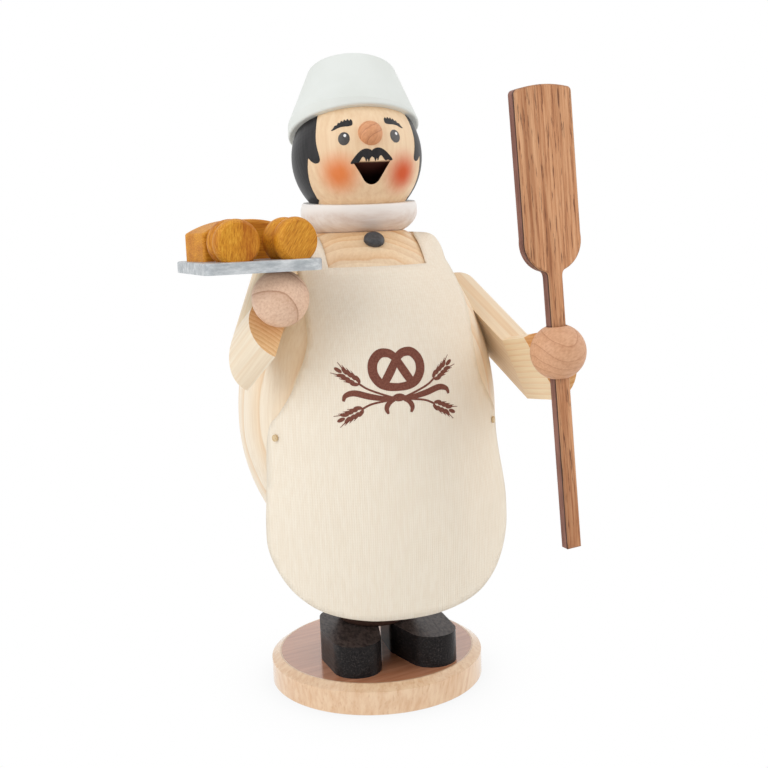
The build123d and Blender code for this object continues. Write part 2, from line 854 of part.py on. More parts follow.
left_wrist = hand_place(
    1, left_elbow, left_lower_angle, left_lower_length, left_hand_out, left_hand_across
)
right_wrist = hand_place(
    -1, right_elbow, right_lower_angle, right_lower_length, right_hand_out, right_hand_across
)
left_way = in_flat(1, left_lower_angle)
right_way = in_flat(-1, right_lower_angle)
hand_stand_off = hand_radius - hand_flat
left_hand_centre = left_wrist + left_way * hand_stand_off
right_hand_centre = right_wrist + right_way * hand_stand_off
tray_bottom = right_hand_centre.Z + hand_radius - tray_flat

left_upper_arm, left_forearm = make_arm(
    1, left_elbow, left_upper_angle, left_lower_angle,
    left_upper_length, left_lower_length, arm_dowel_planes[0], left_wrist, neck_height,
)
left_upper_arm.label = "left_upper_arm"
export_step(left_upper_arm, "parts/left_upper_arm.step")
left_forearm.label = "left_forearm"
export_step(left_forearm, "parts/left_forearm.step")

right_upper_arm, right_forearm = make_arm(
    -1, right_elbow, right_upper_angle, right_lower_angle,
    right_upper_length, right_lower_length, arm_dowel_planes[1], right_wrist, tray_bottom - sliding_gap,
)
right_upper_arm.label = "right_upper_arm"
export_step(right_upper_arm, "parts/right_upper_arm.step")
right_forearm.label = "right_forearm"
export_step(right_forearm, "parts/right_forearm.step")

with BuildPart() as shoulder_dowels:
    for dowel_plane in arm_dowel_planes:
        with BuildSketch(dowel_plane.offset(-arm_dowel_in_body)):
            Circle(arm_dowel_radius)
        extrude(amount=arm_dowel_in_body + arm_dowel_in_arm)

shoulder_dowels.part.label = "shoulder_dowels"
export_step(shoulder_dowels.part, "parts/shoulder_dowels.step")

# Hands: turned balls; the left one is drilled right through for the peel, the right one carries the tray
peel_face = Vector(sin(radians(peel_turn)), -cos(radians(peel_turn)), 0)
peel_across = Vector(cos(radians(peel_turn)), sin(radians(peel_turn)), 0)
peel_up = Vector(0, 0, 1) * cos(radians(peel_lean)) - peel_across * sin(radians(peel_lean))
peel_side = peel_across * cos(radians(peel_lean)) + Vector(0, 0, 1) * sin(radians(peel_lean))
peel_hole_radius = hypot(handle_width, peel_thickness) / 2 + sliding_gap / 2

with BuildPart() as left_hand:
    with Locations(left_hand_centre):
        Sphere(hand_radius)
    split(bisect_by=plane_along(left_wrist, left_way, (0, 0, 1)), keep=Keep.TOP)
    with BuildSketch(plane_along(left_hand_centre, peel_up, peel_side)):
        Circle(peel_hole_radius)
    extrude(amount=2 * hand_radius, both=True, mode=Mode.SUBTRACT)
    with BuildSketch(plane_along(left_wrist, left_way, (0, 0, 1))):
        Circle(hand_peg_radius)
    extrude(amount=hand_peg_in_hand, mode=Mode.SUBTRACT)

left_hand.part.label = "left_hand"
export_step(left_hand.part, "parts/left_hand.step")

tray_peg_plane = Plane.XY.offset(tray_bottom)
with BuildPart() as right_hand:
    with Locations(right_hand_centre):
        Sphere(hand_radius)
    split(bisect_by=plane_along(right_wrist, right_way, (1, 0, 0)), keep=Keep.TOP)
    split(bisect_by=tray_peg_plane, keep=Keep.BOTTOM)
    with BuildSketch(plane_along(right_wrist, right_way, (1, 0, 0))):
        Circle(hand_peg_radius)
    extrude(amount=hand_peg_in_hand, mode=Mode.SUBTRACT)
    with BuildSketch(tray_peg_plane):
        with Locations((right_hand_centre.X, right_hand_centre.Y)):
            Circle(tray_peg_radius)
    extrude(amount=-tray_peg_in_hand, mode=Mode.SUBTRACT)

right_hand.part.label = "right_hand"
export_step(right_hand.part, "parts/right_hand.step")

with BuildPart() as hand_pegs:
    for wrist, way in ((left_wrist, left_way), (right_wrist, right_way)):
        with BuildSketch(plane_along(wrist - way * hand_peg_in_arm, way, (1, 0, 0))):
            Circle(hand_peg_radius)
        extrude(amount=hand_peg_in_arm + hand_peg_in_hand)

hand_pegs.part.label = "hand_pegs"
export_step(hand_pegs.part, "parts/hand_pegs.step")

# Tray: a small board with rounded corners on a peg in the right hand
tray_plane = Plane(
    origin=(right_hand_centre.X - tray_right_of_hand, right_hand_centre.Y + tray_behind_hand, tray_bottom),
    x_dir=Vector(1, 0, 0).rotate(Axis.Z, tray_turn),
    z_dir=(0, 0, 1),
)
tray_top_plane = tray_plane.offset(tray_thickness)
with BuildPart() as tray:
    with BuildSketch(tray_plane):
        RectangleRounded(tray_width, tray_depth, tray_corner)
    extrude(amount=tray_thickness)
    fillet(tray.edges().group_by(Axis.Z)[-1], radius=tray_edge)
    with BuildSketch(tray_peg_plane):
        with Locations((right_hand_centre.X, right_hand_centre.Y)):
            Circle(tray_peg_radius)
    extrude(amount=tray_peg_in_tray, mode=Mode.SUBTRACT)

tray.part.label = "tray"
export_step(tray.part, "parts/tray.step")

with BuildPart() as tray_peg:
    with BuildSketch(tray_peg_plane.offset(-tray_peg_in_hand)):
        with Locations((right_hand_centre.X, right_hand_centre.Y)):
            Circle(tray_peg_radius)
    extrude(amount=tray_peg_in_hand + tray_peg_in_tray)

tray_peg.part.label = "tray_peg"
export_step(tray_peg.part, "parts/tray_peg.step")

tray_right = tray_plane.x_dir
tray_back = tray_plane.y_dir
tray_front_middle = tray_top_plane.origin - tray_back * (tray_depth / 2)


# One double roll: two turned lobes with a waist, sanded flat below
def make_roll(across, turn):
    roll_way = tray_back.rotate(Axis.Z, turn)
    centre = tray_front_middle + tray_right * across + tray_back * roll_from_front
    centre = centre + Vector(0, 0, roll_radius - roll_sink)
    half = roll_length / 2
    with BuildPart() as roll:
        with BuildSketch(Plane(origin=centre, x_dir=roll_way, z_dir=tray_right.rotate(Axis.Z, turn))):
            with BuildLine():
                front_end = Line((-half, 0), (-half, roll_end_radius))
                front_lobe = ThreePointArc(front_end @ 1, (-half / 2, roll_radius), (0, roll_waist_radius))
                back_lobe = ThreePointArc(front_lobe @ 1, (half / 2, roll_radius), (half, roll_end_radius))
                Polyline(back_lobe @ 1, (half, 0), front_end @ 0)
            make_face()
        revolve(axis=Axis(centre, roll_way))
        split(bisect_by=tray_top_plane, keep=Keep.TOP)
    return roll.part


right_roll = make_roll(right_roll_across, right_roll_turn)
right_roll.label = "right_double_roll"
export_step(right_roll, "parts/right_double_roll.step")

left_roll = make_roll(left_roll_across, left_roll_turn)
left_roll.label = "left_double_roll"
export_step(left_roll, "parts/left_double_roll.step")

# Loaf: sawn from a board with an arched top, its edges sanded round, lying askew behind the rolls
loaf_foot = tray_front_middle + tray_back * (roll_from_front + roll_length / 2 + loaf_behind_rolls)
loaf_way = tray_right.rotate(Axis.Z, loaf_turn)
loaf_plane = Plane(origin=loaf_foot, x_dir=loaf_way, z_dir=loaf_way.cross(Vector(0, 0, 1)))
with BuildPart() as loaf:
    with BuildSketch(loaf_plane):
        with BuildLine():
            near_end = Line((-loaf_length / 2, 0), (-loaf_length / 2, loaf_end_height))
            crust = ThreePointArc(near_end @ 1, (0, loaf_height), (loaf_length / 2, loaf_end_height))
            Polyline(crust @ 1, (loaf_length / 2, 0), near_end @ 0)
        make_face()
    extrude(amount=loaf_width / 2, both=True)
    crust_edges = loaf.edges().filter_by_position(Axis.Z, loaf_foot.Z + loaf_round, loaf_foot.Z + loaf_height)
    fillet(crust_edges, radius=loaf_round)

loaf.part.label = "loaf"
export_step(loaf.part, "parts/loaf.step")

# Peel: a blade and its handle, sawn from one board. The blade's top is slightly arched, its foot is round
peel_plane = Plane(origin=left_hand_centre, x_dir=peel_side, z_dir=peel_face)
blade_foot = peel_above_hand - blade_length
with BuildPart() as peel:
    with BuildSketch(peel_plane) as peel_outline:
        with BuildLine():
            blade_top = TangentArc(
                (0, peel_above_hand), (blade_width / 2, peel_above_hand - blade_top_rise), tangent=(1, 0)
            )
            blade_side = Line(blade_top @ 1, (blade_width / 2, blade_foot))
            blade_round = ThreePointArc(
                blade_side @ 1,
                (blade_round_half_width, blade_foot - blade_round_drop),
                (blade_neck_half_width, blade_foot - blade_neck_drop),
            )
            neck = Spline(
                blade_round @ 1,
                (handle_width / 2, blade_foot - handle_drop),
                tangents=(blade_round % 1, (0, -1)),
            )
            Polyline(neck @ 1, (handle_width / 2, -peel_below_hand), (0, -peel_below_hand))
            mirror(about=Plane.YZ)
        make_face()
        fillet(peel_outline.vertices().group_by(Axis.Y)[-1], radius=blade_corner)
    extrude(amount=peel_thickness / 2, both=True)
    chamfer(peel.faces().sort_by(Axis(left_hand_centre, peel_face))[-1].edges(), length=peel_edge)

peel.part.label = "peel"
export_step(peel.part, "parts/peel.step")
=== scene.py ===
import math

import bmesh
import bpy
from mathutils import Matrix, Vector
from mathutils.geometry import delaunay_2d_cdt


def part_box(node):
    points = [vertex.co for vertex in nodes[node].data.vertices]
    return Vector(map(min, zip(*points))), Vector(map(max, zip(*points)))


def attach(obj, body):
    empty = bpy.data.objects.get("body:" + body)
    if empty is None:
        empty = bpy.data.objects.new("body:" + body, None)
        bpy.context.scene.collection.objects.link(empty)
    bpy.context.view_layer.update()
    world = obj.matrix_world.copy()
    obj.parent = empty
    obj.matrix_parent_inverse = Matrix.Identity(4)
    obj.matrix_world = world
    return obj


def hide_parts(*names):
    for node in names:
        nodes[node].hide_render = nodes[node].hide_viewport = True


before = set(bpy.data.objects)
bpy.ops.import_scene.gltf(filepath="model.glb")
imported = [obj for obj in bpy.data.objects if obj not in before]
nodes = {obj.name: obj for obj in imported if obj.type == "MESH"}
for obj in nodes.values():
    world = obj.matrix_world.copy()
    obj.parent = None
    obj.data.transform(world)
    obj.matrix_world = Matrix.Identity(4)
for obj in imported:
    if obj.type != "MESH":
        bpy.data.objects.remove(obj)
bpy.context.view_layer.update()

# Studio: a white table that runs out of sight, an even white tent of light with three soft boxes, and the
# photo's camera, which stands a little to the figure's right, above the middle, and leans to one side.
table_width = 6.0
table_drop = 0.0002
table_grey = (0.85, 0.85, 0.85, 1)
table_roughness = 0.9
contact_reach = 0.02
contact_shade = 0.86
tent_light = 0.60
tent_white = 1.0
lamp_aim = Vector((0, 0, 0.08))
photo_width = 768
photo_focal = 1100
film_width = 36.0
camera_place = (-0.07034, -0.30469, 0.1330)
camera_angles = (81.444, 2.176, -14.277)
camera_nearest = 0.01


def seen_rays(tree):
    """Which rays see the white backdrop: those of the camera, of reflections and through glass."""
    rays = tree.nodes.new("ShaderNodeLightPath")
    seen = rays.outputs["Is Camera Ray"]
    for kind in ("Is Glossy Ray", "Is Transmission Ray"):
        either = tree.nodes.new("ShaderNodeMath")
        either.operation = "MAXIMUM"
        tree.links.new(seen, either.inputs[0])
        tree.links.new(rays.outputs[kind], either.inputs[1])
        seen = either.outputs[0]
    return seen


bpy.ops.mesh.primitive_plane_add(size=table_width, location=(0, 0, -table_drop))
table = bpy.context.object
table.name = "table"
table_paint = bpy.data.materials.new("table_white")
table_paint.use_nodes = True
table_steps = table_paint.node_tree.nodes
table_links = table_paint.node_tree.links
table_skin = table_steps["Principled BSDF"]
table_skin.inputs["Base Color"].default_value = table_grey
table_skin.inputs["Roughness"].default_value = table_roughness
table_glow = table_steps.new("ShaderNodeEmission")
table_shade = table_steps.new("ShaderNodeAmbientOcclusion")
table_shade.inputs["Distance"].default_value = contact_reach
table_tone = table_steps.new("ShaderNodeMapRange")
table_tone.inputs["To Min"].default_value = contact_shade
table_links.new(table_shade.outputs["AO"], table_tone.inputs["Value"])
table_links.new(table_tone.outputs["Result"], table_glow.inputs["Strength"])
table_seen = table_steps.new("ShaderNodeMixShader")
table_links.new(seen_rays(table_paint.node_tree), table_seen.inputs[0])
table_links.new(table_skin.outputs[0], table_seen.inputs[1])
table_links.new(table_glow.outputs[0], table_seen.inputs[2])
table_links.new(table_seen.outputs[0], table_steps["Material Output"].inputs["Surface"])
table.data.materials.append(table_paint)

tent = bpy.data.worlds.new("tent")
bpy.context.scene.world = tent
tent.use_nodes = True
tent_steps = tent.node_tree.nodes
tent_links = tent.node_tree.links
tent_sky = tent_steps["Background"]
tent_sky.inputs["Color"].default_value = (1, 1, 1, 1)
tent_seen = tent_steps.new("ShaderNodeMix")
tent_seen.inputs["A"].default_value = tent_light
tent_seen.inputs["B"].default_value = tent_white
tent_links.new(seen_rays(tent.node_tree), tent_seen.inputs["Factor"])
tent_links.new(tent_seen.outputs["Result"], tent_sky.inputs["Strength"])

for lamp_name, lamp_place, lamp_width, lamp_height, lamp_watts in (
    ("left_box", (-0.75, -0.35, 0.45), 0.7, 0.8, 3.0),
    ("right_box", (0.75, -0.25, 0.45), 0.6, 0.8, 2.2),
    ("top_box", (0.0, -0.15, 0.95), 0.9, 0.9, 1.2),
):
    lamp = bpy.data.lights.new(lamp_name, "AREA")
    lamp.shape = "RECTANGLE"
    lamp.size = lamp_width
    lamp.size_y = lamp_height
    lamp.energy = lamp_watts
    soft_box = bpy.data.objects.new(lamp_name, lamp)
    bpy.context.scene.collection.objects.link(soft_box)
    soft_box.location = lamp_place
    soft_box.rotation_euler = (lamp_aim - Vector(lamp_place)).to_track_quat("-Z", "Y").to_euler()

camera = bpy.data.cameras.new("photo_camera")
camera.sensor_width = film_width
camera.lens = film_width * photo_focal / photo_width
camera.clip_start = camera_nearest
camera_stand = bpy.data.objects.new("photo_camera", camera)
bpy.context.scene.collection.objects.link(camera_stand)
camera_stand.location = camera_place
camera_stand.rotation_euler = [math.radians(angle) for angle in camera_angles]
bpy.context.scene.camera = camera_stand
bpy.context.scene.view_settings.view_transform = "Standard"

# Base plate: a turned beech disc, clear on its edge and chamfer, with a gloss brown lacquer on top.
# Beech shows short darker flecks and faint straight grain along the board it was cut from.
# The two dowels that carry the figure are glued into it.
base_grain = (0.22, 0.3, 0.93)
base_coat_roughness = 0.12
lacquer_grain = (0.96, 0.28, 0)
lacquer_radius = 0.02815
lacquer_depth = 0.0001
lacquer_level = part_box("base_plate")[1].z - lacquer_depth


def srgb(red, green, blue):
    """A colour as a paint chart gives it, from 0 to 255, turned into light."""
    out = []
    for value in (red, green, blue):
        value /= 255
        out.append(value / 12.92 if value <= 0.04045 else ((value + 0.055) / 1.055) ** 2.4)
    return (*out, 1.0)


class Finish:
    """A material under construction: a few named shader steps that the pieces below share."""

    def __init__(self, name, roughness, shine=0.4):
        self.material = bpy.data.materials.new(name)
        self.material.use_nodes = True
        self.nodes = self.material.node_tree.nodes
        self.links = self.material.node_tree.links
        self.skin = self.nodes["Principled BSDF"]
        self.skin.inputs["Roughness"].default_value = roughness
        self.skin.inputs["Specular IOR Level"].default_value = shine
        self.place = self.nodes.new("ShaderNodeTexCoord").outputs["Object"]

    def put(self, socket, value):
        if isinstance(value, bpy.types.NodeSocket):
            self.links.new(value, socket)
        else:
            socket.default_value = value

    def number(self, kind, first, second=0.0, third=0.0):
        node = self.nodes.new("ShaderNodeMath")
        node.operation = kind
        for socket, value in zip(node.inputs, (first, second, third)):
            self.put(socket, value)
        return node.outputs[0]

    def vector(self, kind, first, second=(0, 0, 0), scale=1.0):
        node = self.nodes.new("ShaderNodeVectorMath")
        node.operation = kind
        self.put(node.inputs[0], first)
        self.put(node.inputs[1], second)
        if kind == "SCALE":
            self.put(node.inputs["Scale"], scale)
        gives_number = kind in ("LENGTH", "DOT_PRODUCT", "DISTANCE")
        return node.outputs["Value" if gives_number else "Vector"]

    def level(self):
        """Height above the table."""
        return self.vector("DOT_PRODUCT", self.place, (0, 0, 1))

    def off_axis(self):
        """Distance from the upright axis that the figure is turned on."""
        return self.vector("LENGTH", self.vector("MULTIPLY", self.place, (1, 1, 0)))

    def facing(self, way):
        """How far the surface faces a given way, from -1 to 1."""
        normal = self.nodes.new("ShaderNodeNewGeometry").outputs["Normal"]
        return self.vector("DOT_PRODUCT", normal, way)

    def noise(self, vector, scale, detail=2.0, rough=0.5):
        node = self.nodes.new("ShaderNodeTexNoise")
        self.links.new(vector, node.inputs["Vector"])
        node.inputs["Scale"].default_value = scale
        node.inputs["Detail"].default_value = detail
        node.inputs["Roughness"].default_value = rough
        return node.outputs["Fac"]

    def ramp(self, share, *stops):
        node = self.nodes.new("ShaderNodeValToRGB")
        self.links.new(share, node.inputs["Fac"])
        steps = node.color_ramp.elements
        while len(steps) < len(stops):
            steps.new(0.5)
        for step, (at, colour) in zip(steps, stops):
            step.position = at
            step.color = colour
        return node.outputs["Color"]

    def step(self, value, low, high, first=0.0, last=1.0):
        node = self.nodes.new("ShaderNodeMapRange")
        node.interpolation_type = "SMOOTHSTEP"
        self.links.new(value, node.inputs["Value"])
        node.inputs["From Min"].default_value = low
        node.inputs["From Max"].default_value = high
        node.inputs["To Min"].default_value = first
        node.inputs["To Max"].default_value = last
        return node.outputs["Result"]

    def mix(self, share, first, second, kind="MIX"):
        node = self.nodes.new("ShaderNodeMix")
        node.data_type = "RGBA"
        node.blend_type = kind
        node.clamp_factor = True
        colours = [socket for socket in node.inputs if socket.type == "RGBA"]
        self.put(node.inputs["Factor"], share)
        self.put(colours[0], first)
        self.put(colours[1], second)
        return [socket for socket in node.outputs if socket.type == "RGBA"][0]

    def bump(self, height, depth, strength=0.5):
        node = self.nodes.new("ShaderNodeBump")
        node.inputs["Strength"].default_value = strength
        node.inputs["Distance"].default_value = depth
        self.links.new(height, node.inputs["Height"])
        self.links.new(node.outputs["Normal"], self.skin.inputs["Normal"])

    def fibres(self, along, stretch=0.96):
        """The place pressed together along the grain, so that noise on it draws out into fibres."""
        share = self.vector("DOT_PRODUCT", self.place, along)
        back = self.vector("SCALE", along, scale=self.number("MULTIPLY", share, stretch))
        return self.vector("SUBTRACT", self.place, back)

    def rings(self, along, pith, width, wander=0.5):
        """Where a point lies between one growth ring, 0, and the next, 1."""
        from_pith = self.vector("SUBTRACT", self.place, pith)
        reach = self.vector("LENGTH", self.vector("CROSS_PRODUCT", from_pith, along))
        drift = self.noise(self.fibres(along, 0.8), scale=60)
        turns = self.number("MULTIPLY_ADD", drift, wander * 2, self.number("DIVIDE", reach, width))
        return self.number("FRACT", turns)

    def colour(self, value):
        self.put(self.skin.inputs["Base Color"], value)

    def on(self, *pieces):
        for piece in pieces:
            piece.data.materials.clear()
            piece.data.materials.append(self.material)


def beech(name, along, pale, dark, fleck):
    wood = Finish(name, roughness=0.45)
    lines = wood.fibres(along, 0.94)
    grain = wood.ramp(wood.noise(lines, scale=700, detail=4, rough=0.6), (0.3, dark), (0.62, pale))
    flecks = wood.noise(wood.fibres(along, 0.75), scale=1500, detail=2, rough=0.4)
    fleck_share = wood.number("MULTIPLY", wood.step(flecks, 0.60, 0.70), 0.3)
    wood.clear = wood.mix(fleck_share, grain, fleck)
    wood.bump(wood.noise(lines, scale=1600, detail=3), depth=0.00006, strength=0.35)
    wood.colour(wood.clear)
    return wood


base = beech(
    "base_beech", base_grain,
    pale=srgb(244, 211, 175), dark=srgb(227, 183, 141), fleck=srgb(206, 154, 110),
)
base.skin.inputs["Coat Weight"].default_value = 1.0
base.skin.inputs["Coat Roughness"].default_value = base_coat_roughness
lacquer_share = base.number(
    "MULTIPLY",
    base.number("GREATER_THAN", base.level(), lacquer_level),
    base.number("LESS_THAN", base.off_axis(), lacquer_radius),
)
lacquer = base.ramp(
    base.noise(base.fibres(lacquer_grain, 0.93), scale=500, detail=4, rough=0.6),
    (0.3, srgb(192, 127, 92)),
    (0.65, srgb(218, 153, 116)),
)
base.colour(base.mix(lacquer_share, base.clear, lacquer))
base.put(base.skin.inputs["Roughness"], base.step(lacquer_share, 0, 1, first=0.45, last=0.16))
base.on(nodes["base_plate"])

# Shoes: sawn from beech, hollowed over the instep and stained black with little gloss, so the grain stays.
# Their tops are painted paler, a painted sheen. Each shoe stands on a dowel that runs from the base into
# the legs.
shoe_length = (0.05, 1, 0)
shoe = Finish("shoe_black", roughness=0.3, shine=0.12)
shoe_lines = shoe.fibres(shoe_length, 0.93)
shoe_sides = shoe.ramp(
    shoe.noise(shoe_lines, scale=2200, detail=4, rough=0.7),
    (0.32, srgb(16, 14, 15)),
    (0.54, srgb(36, 33, 33)),
    (0.70, srgb(66, 61, 60)),
)
# Painted sheen: the faces that look upward get this paler colour, mixed in by how far they face up.
shoe_sheen_tops = shoe.ramp(
    shoe.noise(shoe.fibres(shoe_length, 0.6), scale=1500, detail=3, rough=0.6),
    (0.34, srgb(40, 33, 31)),
    (0.60, srgb(92, 81, 77)),
)
shoe.colour(shoe.mix(shoe.step(shoe.facing((0, 0, 1)), 0.4, 0.9), shoe_sides, shoe_sheen_tops))
shoe.bump(shoe.noise(shoe_lines, scale=1500, detail=3), depth=0.00012, strength=0.6)
shoe.on(nodes["right_shoe"], nodes["left_shoe"])

# Dowels and pegs: plain beech rod cut to length and glued into drilled holes, out of sight.
# The neck's dowel is bored through, because the smoke goes up it into the head.
dowel = beech(
    "dowel_beech", along=(0, 0, 1),
    pale=srgb(226, 190, 148), dark=srgb(206, 164, 120), fleck=srgb(180, 130, 90),
)
for name in ("leg_dowels", "neck_tube", "shoulder_dowels", "hand_pegs", "tray_peg"):
    dowel.on(nodes[name])

# Legs: one turned cone, stained dark brown outside and glued on the shoes' dowels. The spigot that the
# body slides on and the plate's recess stay clear wood, a little browned by the embers.
stain_below_split = 0.00005
stain_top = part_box("upper_body")[0].z - stain_below_split
legs = Finish("leg_stain", roughness=0.5)
legs_stain = legs.ramp(
    legs.noise(legs.fibres((0, 0, 1), 0.95), scale=600, detail=4, rough=0.6),
    (0.3, srgb(58, 38, 31)),
    (0.65, srgb(84, 59, 49)),
)
legs_clear = legs.ramp(
    legs.noise(legs.fibres((0, 0, 1), 0.9), scale=500, detail=3, rough=0.6),
    (0.3, srgb(196, 154, 108)),
    (0.65, srgb(222, 184, 138)),
)
legs.colour(legs.mix(legs.number("GREATER_THAN", legs.level(), stain_top), legs_stain, legs_clear))
legs.on(nodes["lower_body"])

# Incense plate: a dish pressed from thin tin, with a burnt patch where the cone stands.
# One round-headed steel nail through its middle holds it in the recess on the legs.
burn_inner = 0.003
burn_outer = 0.011
tin = Finish("burnt_tin", roughness=0.38)
tin.skin.inputs["Metallic"].default_value = 0.95
tin_soot = tin.noise(tin.place, scale=350, detail=4, rough=0.6)
tin_middle = tin.step(tin.off_axis(), burn_inner, burn_outer, first=1, last=0)
tin_burn = tin.number("MULTIPLY", tin_middle, tin_soot)
tin.colour(tin.mix(tin_burn, srgb(190, 188, 182), srgb(60, 44, 34)))
tin.bump(tin.noise(tin.place, scale=900), depth=0.00005, strength=0.3)
tin.on(nodes["incense_plate"])


def mottled(name, roughness, shine, scale, detail, low, high):
    """A plain finish that drifts a little from a darker tone to a paler one."""
    finish = Finish(name, roughness, shine)
    finish.colour(finish.ramp(finish.noise(finish.place, scale, detail), low, high))
    return finish


steel = mottled(
    "nail_steel", roughness=0.35, shine=0.4, scale=2500, detail=3,
    low=(0.3, srgb(120, 120, 120)), high=(0.7, srgb(176, 176, 176)),
)
steel.skin.inputs["Metallic"].default_value = 1.0
steel.on(nodes["plate_nail"])

# Upper body: turned from one block of pale spruce and bored out, so the growth rings stand as upright
# stripes at the sides and as arches over the shoulders. The lacquer is clear and matt.
body_grain = (0.02, 0.0, 1.0)
body_pith = (0.012, 0.060, 0)
body_ring = 0.0058
white = srgb(255, 255, 255)


def spruce(name, along, pith, ring, wander, depth, tone, end_from, end_tone):
    """Spruce with soft rings of a given depth of colour, tinted darker where the surface faces along the
    grain.
    """
    wood = Finish(name, roughness=0.42, shine=0.35)
    bands = wood.ramp(
        wood.rings(along, pith, ring, wander),
        (0.0, srgb(251, 239, 219)),
        (0.5, srgb(250, 235, 212)),
        (0.84, srgb(246, 224, 194)),
        (0.94, srgb(242, 214, 180)),
        (1.0, srgb(251, 239, 219)),
    )
    bands = wood.mix(depth, srgb(249, 235, 212), bands)
    lines = wood.fibres(along, 0.97)
    silk = wood.ramp(
        wood.noise(lines, scale=1400, detail=3, rough=0.6), (0.3, srgb(236, 226, 214)), (0.7, white)
    )
    grain = wood.mix(1.0, wood.mix(0.55, bands, silk, "MULTIPLY"), tone, "MULTIPLY")
    pores = wood.ramp(wood.rings(along, pith, ring * 0.7, 0.3), (0.3, white), (0.9, srgb(240, 228, 212)))
    sawn = wood.mix(1.0, wood.mix(1.0, grain, end_tone, "MULTIPLY"), pores, "MULTIPLY")
    wood.colour(wood.mix(wood.step(wood.facing(along), end_from, 0.97), grain, sawn))
    wood.bump(wood.noise(lines, scale=2400), depth=0.00004, strength=0.3)
    return wood


# Where the body faces upward, over the shoulders and round the neck, it is tinted darker and warmer.
body = spruce(
    "body_spruce", body_grain, body_pith, body_ring, wander=0.6, depth=1.0, tone=white,
    end_from=0.25, end_tone=srgb(250, 232, 208),
)
body.on(nodes["upper_body"])

# Collar: a turned ring that sits on the neck's dowel between body and head. Its white glaze is rubbed on
# so thinly that the wood shows through. Its rolled top is painted paler, a painted highlight.
highlight_start = 0.1335
highlight_full = 0.1365
collar = Finish("collar_glaze", roughness=0.5)
collar_wash = collar.ramp(
    collar.noise(collar.fibres((1, 0.1, 0), 0.88), scale=420, detail=4, rough=0.6),
    (0.32, srgb(222, 205, 194)),
    (0.62, srgb(240, 231, 224)),
)
# Painted highlight: above a given height, on the rolled top, the collar turns paler.
collar_top_highlight = collar.step(collar.level(), highlight_start, highlight_full)
collar.colour(collar.mix(collar_top_highlight, collar_wash, srgb(244, 239, 234)))
collar.bump(collar.noise(collar.place, scale=700, detail=3), depth=0.00006, strength=0.4)
collar.on(nodes["collar"])

# Head: a turned ball of pale wood that leans back, clear lacquered, with airbrushed cheeks and everything
# else on the face painted by brush. The mouth is a dark hole through to the smoke bore.
head_middle = Vector((0, 0, 0.150))
head_size = 0.0181
head_lean = math.radians(20)
face_ahead = Vector((0, -math.cos(head_lean), math.sin(head_lean)))
face_up = Vector((0, math.sin(head_lean), math.cos(head_lean)))
face_side = Vector((1, 0, 0))
face_grain_way = (0, 0.2, 1)
cheek_up = -33
cheek_core = 0.0006
cheek_reach = 0.0080
mouth_dark = 0.0172
mouth_rim = 0.0179
paint_thickness = 0.00006
glint_thickness = 0.00009


def on_head(across, up, height=0.0):
    """A place on the face, in degrees across and up from its middle."""
    across = math.radians(across)
    up = math.radians(up)
    level = face_side * math.sin(across) + face_ahead * math.cos(across)
    return head_middle + (level * math.cos(up) + face_up * math.sin(up)) * (head_size + height)


face = Finish("face_wood", roughness=0.42, shine=0.35)
face_lines = face.fibres(face_grain_way, 0.94)
face_colour = face.ramp(
    face.noise(face_lines, scale=800, detail=4, rough=0.6),
    (0.28, srgb(235, 201, 161)),
    (0.66, srgb(247, 219, 183)),
)
for cheek_across, strength, blush in ((-34, 0.85, srgb(236, 118, 30)), (37, 0.97, srgb(216, 80, 8))):
    cheek_off = face.vector("DISTANCE", face.place, on_head(cheek_across, cheek_up))
    cheek_share = face.step(cheek_off, cheek_core, cheek_reach, first=strength, last=0.0)
    face_colour = face.mix(cheek_share, face_colour, blush)
face_deep = face.vector("DISTANCE", face.place, head_middle)
face_inside = face.step(face_deep, mouth_dark, mouth_rim, first=1, last=0)
face.colour(face.mix(face_inside, face_colour, srgb(74, 42, 36)))
face.bump(face.noise(face_lines, scale=1800), depth=0.00004, strength=0.3)
face.on(nodes["head"])


def coat(name, outlines, spot, thickness, spacing, finish):
    """A thin coat of paint: outlines filled with small triangles and laid on a curved surface."""
    points, shapes = [], []
    for outline in outlines:
        turn = sum(a[0] * b[1] - b[0] * a[1] for a, b in zip(outline, outline[1:] + outline[:1]))
        shapes.append(range(len(points), len(points) + len(outline)))
        points += [Vector(point) for point in (outline if turn > 0 else reversed(outline))]
    low = [min(point[i] for point in points) for i in (0, 1)]
    high = [max(point[i] for point in points) for i in (0, 1)]
    for row in range(1, int((high[1] - low[1]) / spacing) + 1):
        for column in range(1, int((high[0] - low[0]) / spacing) + 1):
            points.append(Vector((low[0] + column * spacing, low[1] + row * spacing)))
    every_face, same_point = 0, 1e-6
    flat, _, fills, _, _, origins = delaunay_2d_cdt(points, [], shapes, every_face, same_point)
    mesh = bmesh.new()
    top = [mesh.verts.new(spot(point.x, point.y, thickness)) for point in flat]
    under = [mesh.verts.new(spot(point.x, point.y, -thickness)) for point in flat]
    rim = {}
    for fill, origin in zip(fills, origins):
        if origin:
            mesh.faces.new([top[i] for i in fill])
            mesh.faces.new([under[i] for i in reversed(fill)])
            for pair in zip(fill, [*fill[1:], fill[0]]):
                rim[pair] = rim[pair[::-1]] = pair if pair[::-1] not in rim else None
    for first, last in {pair for pair in rim.values() if pair}:
        mesh.faces.new((top[last], top[first], under[first], under[last]))
    bmesh.ops.delete(mesh, geom=[vert for vert in mesh.verts if not vert.link_faces], context="VERTS")
    bmesh.ops.recalc_face_normals(mesh, faces=mesh.faces)
    shape = bpy.data.meshes.new(name)
    mesh.to_mesh(shape)
    mesh.free()
    piece = bpy.data.objects.new(name, shape)
    bpy.context.scene.collection.objects.link(piece)
    finish.on(piece)
    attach(piece, "upper_part")
    return piece


